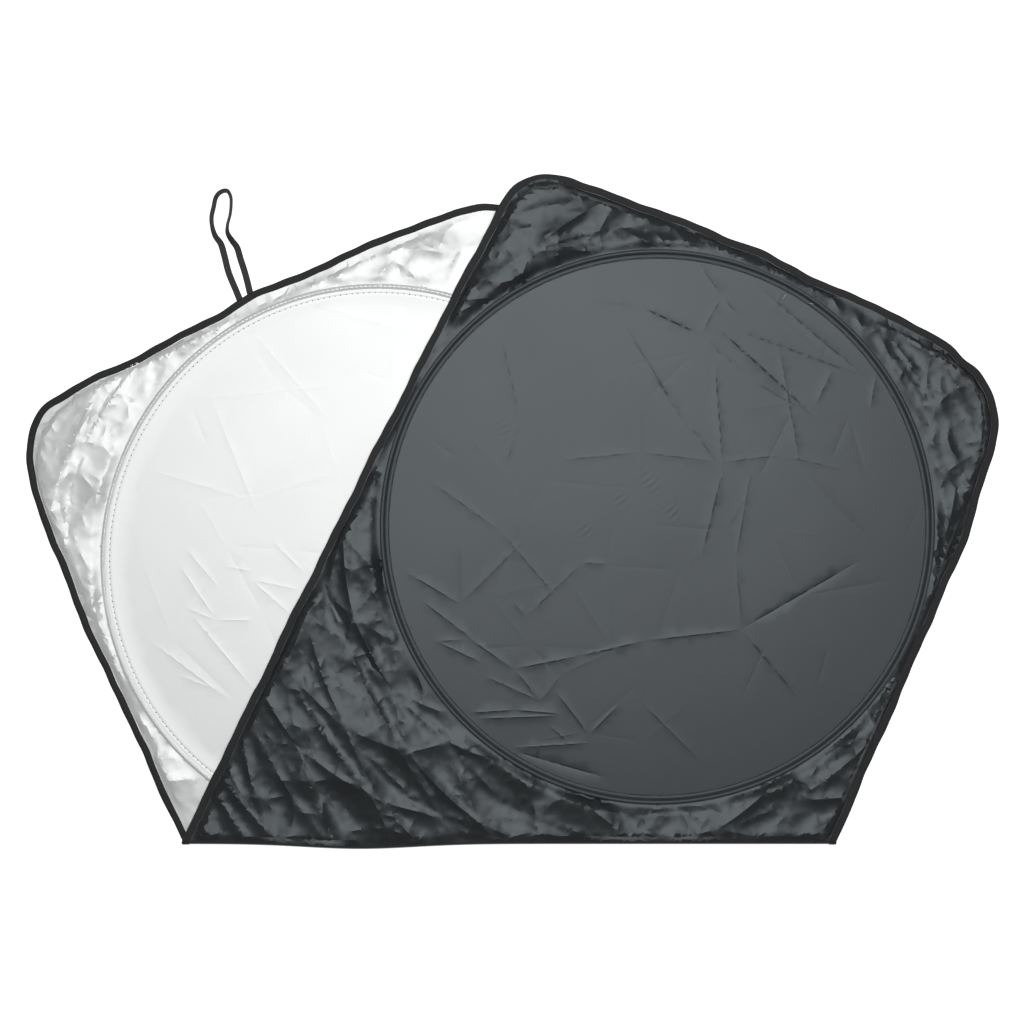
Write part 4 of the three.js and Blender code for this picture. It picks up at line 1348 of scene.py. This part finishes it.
def steel_material(name, dark, light, rough):
    """Drawn steel, a little uneven in its colour and shine."""
    material, tree = new_material(name, dark)
    place = add(tree, "ShaderNodeTexCoord", output=3)
    streak = noise(tree, place, 240.0, 3.0)
    finish_material(tree, {
        "Base Color": blended(tree, streak, dark, light),
        "Metallic": 1.0,
        "Roughness": streak * 0.18 + rough,
        "Normal": bumped(tree, streak, 0.2, 0.0002),
    })
    return material


def set_camera():
    camera = bpy.data.cameras.new("camera")
    camera.sensor_width = SENSOR_WIDTH
    camera.lens = SENSOR_WIDTH * CAMERA_HEIGHT / (PHOTO_PIXELS * MM_PER_PIXEL * MM)
    camera.clip_end = 50
    thing = new_object("camera", camera)
    thing.location = (SHIFT[0] * MM, SHIFT[1] * MM, CAMERA_HEIGHT)
    bpy.context.scene.camera = thing


def set_floor():
    mesh = bpy.data.meshes.new("floor")
    reach = FLOOR_REACH
    corners = [(-reach, -reach, 0), (reach, -reach, 0), (reach, reach, 0), (-reach, reach, 0)]
    mesh.from_pydata(corners, [], [(0, 1, 2, 3)])
    material, tree = new_material("floor", (1, 1, 1))
    rays = tree.nodes.new("ShaderNodeLightPath")
    seen = Signal(tree, rays.outputs["Is Camera Ray"])
    seen = seen.math("MAXIMUM", Signal(tree, rays.outputs["Is Glossy Ray"]))
    seen = seen.math("MAXIMUM", Signal(tree, rays.outputs["Is Transmission Ray"]))
    lit = add(tree, "ShaderNodeBsdfDiffuse", None, {"Color": (FLOOR_GREY, FLOOR_GREY, FLOOR_GREY, 1)})
    glow = add(tree, "ShaderNodeEmission", None, {"Color": (1, 1, 1, 1), "Strength": seen * FLOOR_GREY})
    both = add(tree, "ShaderNodeAddShader", None, {0: lit, 1: glow})
    add(tree, "ShaderNodeOutputMaterial", None, {0: both})
    mesh.materials.append(material)
    new_object("floor", mesh)


def set_light():
    """A pale world and one large soft lamp overhead, a little towards the top of the picture."""
    world = bpy.data.worlds.new("studio")
    bpy.context.scene.world = world
    world.use_nodes = True
    world.node_tree.nodes["Background"].inputs["Color"].default_value = (1, 1, 1, 1)
    world.node_tree.nodes["Background"].inputs["Strength"].default_value = WORLD_LIGHT
    lamp = bpy.data.lights.new("softbox", "AREA")
    lamp.size = SOFTBOX_SIZE
    lamp.energy = SOFTBOX_WATTS
    thing = new_object("softbox", lamp)
    thing.location = SOFTBOX_PLACE
    thing.rotation_euler = (-Vector(SOFTBOX_PLACE)).to_track_quat("-Z", "Y").to_euler()
    thing.visible_camera = False


def dress(piece, slot, *nodes):
    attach(piece, "root")
    if nodes:
        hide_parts(*nodes)
    return piece


def repaint(node, material):
    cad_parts[node].data.materials.clear()
    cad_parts[node].data.materials.append(material)


bpy.context.scene.view_settings.view_transform = "Standard"
set_camera()
set_floor()
set_light()

sheet = lay_sheet()
binding_tape = tape_material(
    "binding_tape", (0.013, 0.013, 0.014), (0.021, 0.021, 0.022), TAPE_WEAVE, 0.55, 0.35
)
casing_tape = tape_material(
    "casing_tape", (0.026, 0.030, 0.033), (0.042, 0.047, 0.051), TAPE_WEAVE, 0.42, 0.8, COATING_SHINE
)
black_thread = thread_material("black_thread", (0.012, 0.012, 0.013), (0.035, 0.036, 0.04))
white_thread = thread_material("white_thread", (0.6, 0.6, 0.6), (0.8, 0.8, 0.8))
elastic_weave = tape_material(
    "elastic_weave", (0.016, 0.016, 0.018), (0.03, 0.03, 0.033), ELASTIC_WEAVE
)

cloth = dress(make_cloth(sheet, [silver_cloth_material(), black_cloth_material()]), "coated_cloth", "cloth")
edge_tape = dress(make_edge_tape(sheet, binding_tape), "binding_tape", "edge_binding")
halves = (("lower", LOWER, -1), ("upper", UPPER, 1))
for which, half, side in halves:
    casing = make_casing(which + "_casing", half, side, casing_tape)
    dress(casing, "casing_tape", which + "_hoop_casing")
dress(make_strap(elastic_weave), "elastic", "elastic_loop")

# Grey of the marks on the silver face: partly the thread, partly painted shade of the dimples it pulls
thread_and_dimple_shade = thread_material("thread_and_dimple_shade", (0.08, 0.08, 0.08), (0.16, 0.16, 0.16))
stitches = stitch_tree()
threads = [make_stitches("edge_stitches", edge_rows(sheet), stitches, black_thread, **EDGE_STITCHES)]
for which, half, side in halves:
    name = which + "_hoop_stitches"
    threads.append(make_stitches(name, hoop_rows(half, side), stitches, black_thread, **HOOP_STITCHES))
# Grey marks in the seam on the silver face: the thread, with painted shade of its dimples
for which, half, side in halves:
    name = which + "_hoop_thread_and_dimple_shade"
    threads.append(make_stitches(name, silver_row(half, side), stitches, thread_and_dimple_shade, **SEAM_DIMPLE_SHADE_MARKS))
threads.append(make_thread_tails(white_thread))
for thread in threads:
    dress(thread, "binding_tape")

for which, half, side in halves:
    wire, sleeve = which + "_hoop_wire", which + "_hoop_sleeve"
    repaint(wire, steel_material(wire + "_steel", (0.36, 0.37, 0.38), (0.5, 0.51, 0.52), 0.28))
    repaint(sleeve, steel_material(sleeve + "_steel", (0.5, 0.51, 0.52), (0.64, 0.65, 0.66), 0.34))
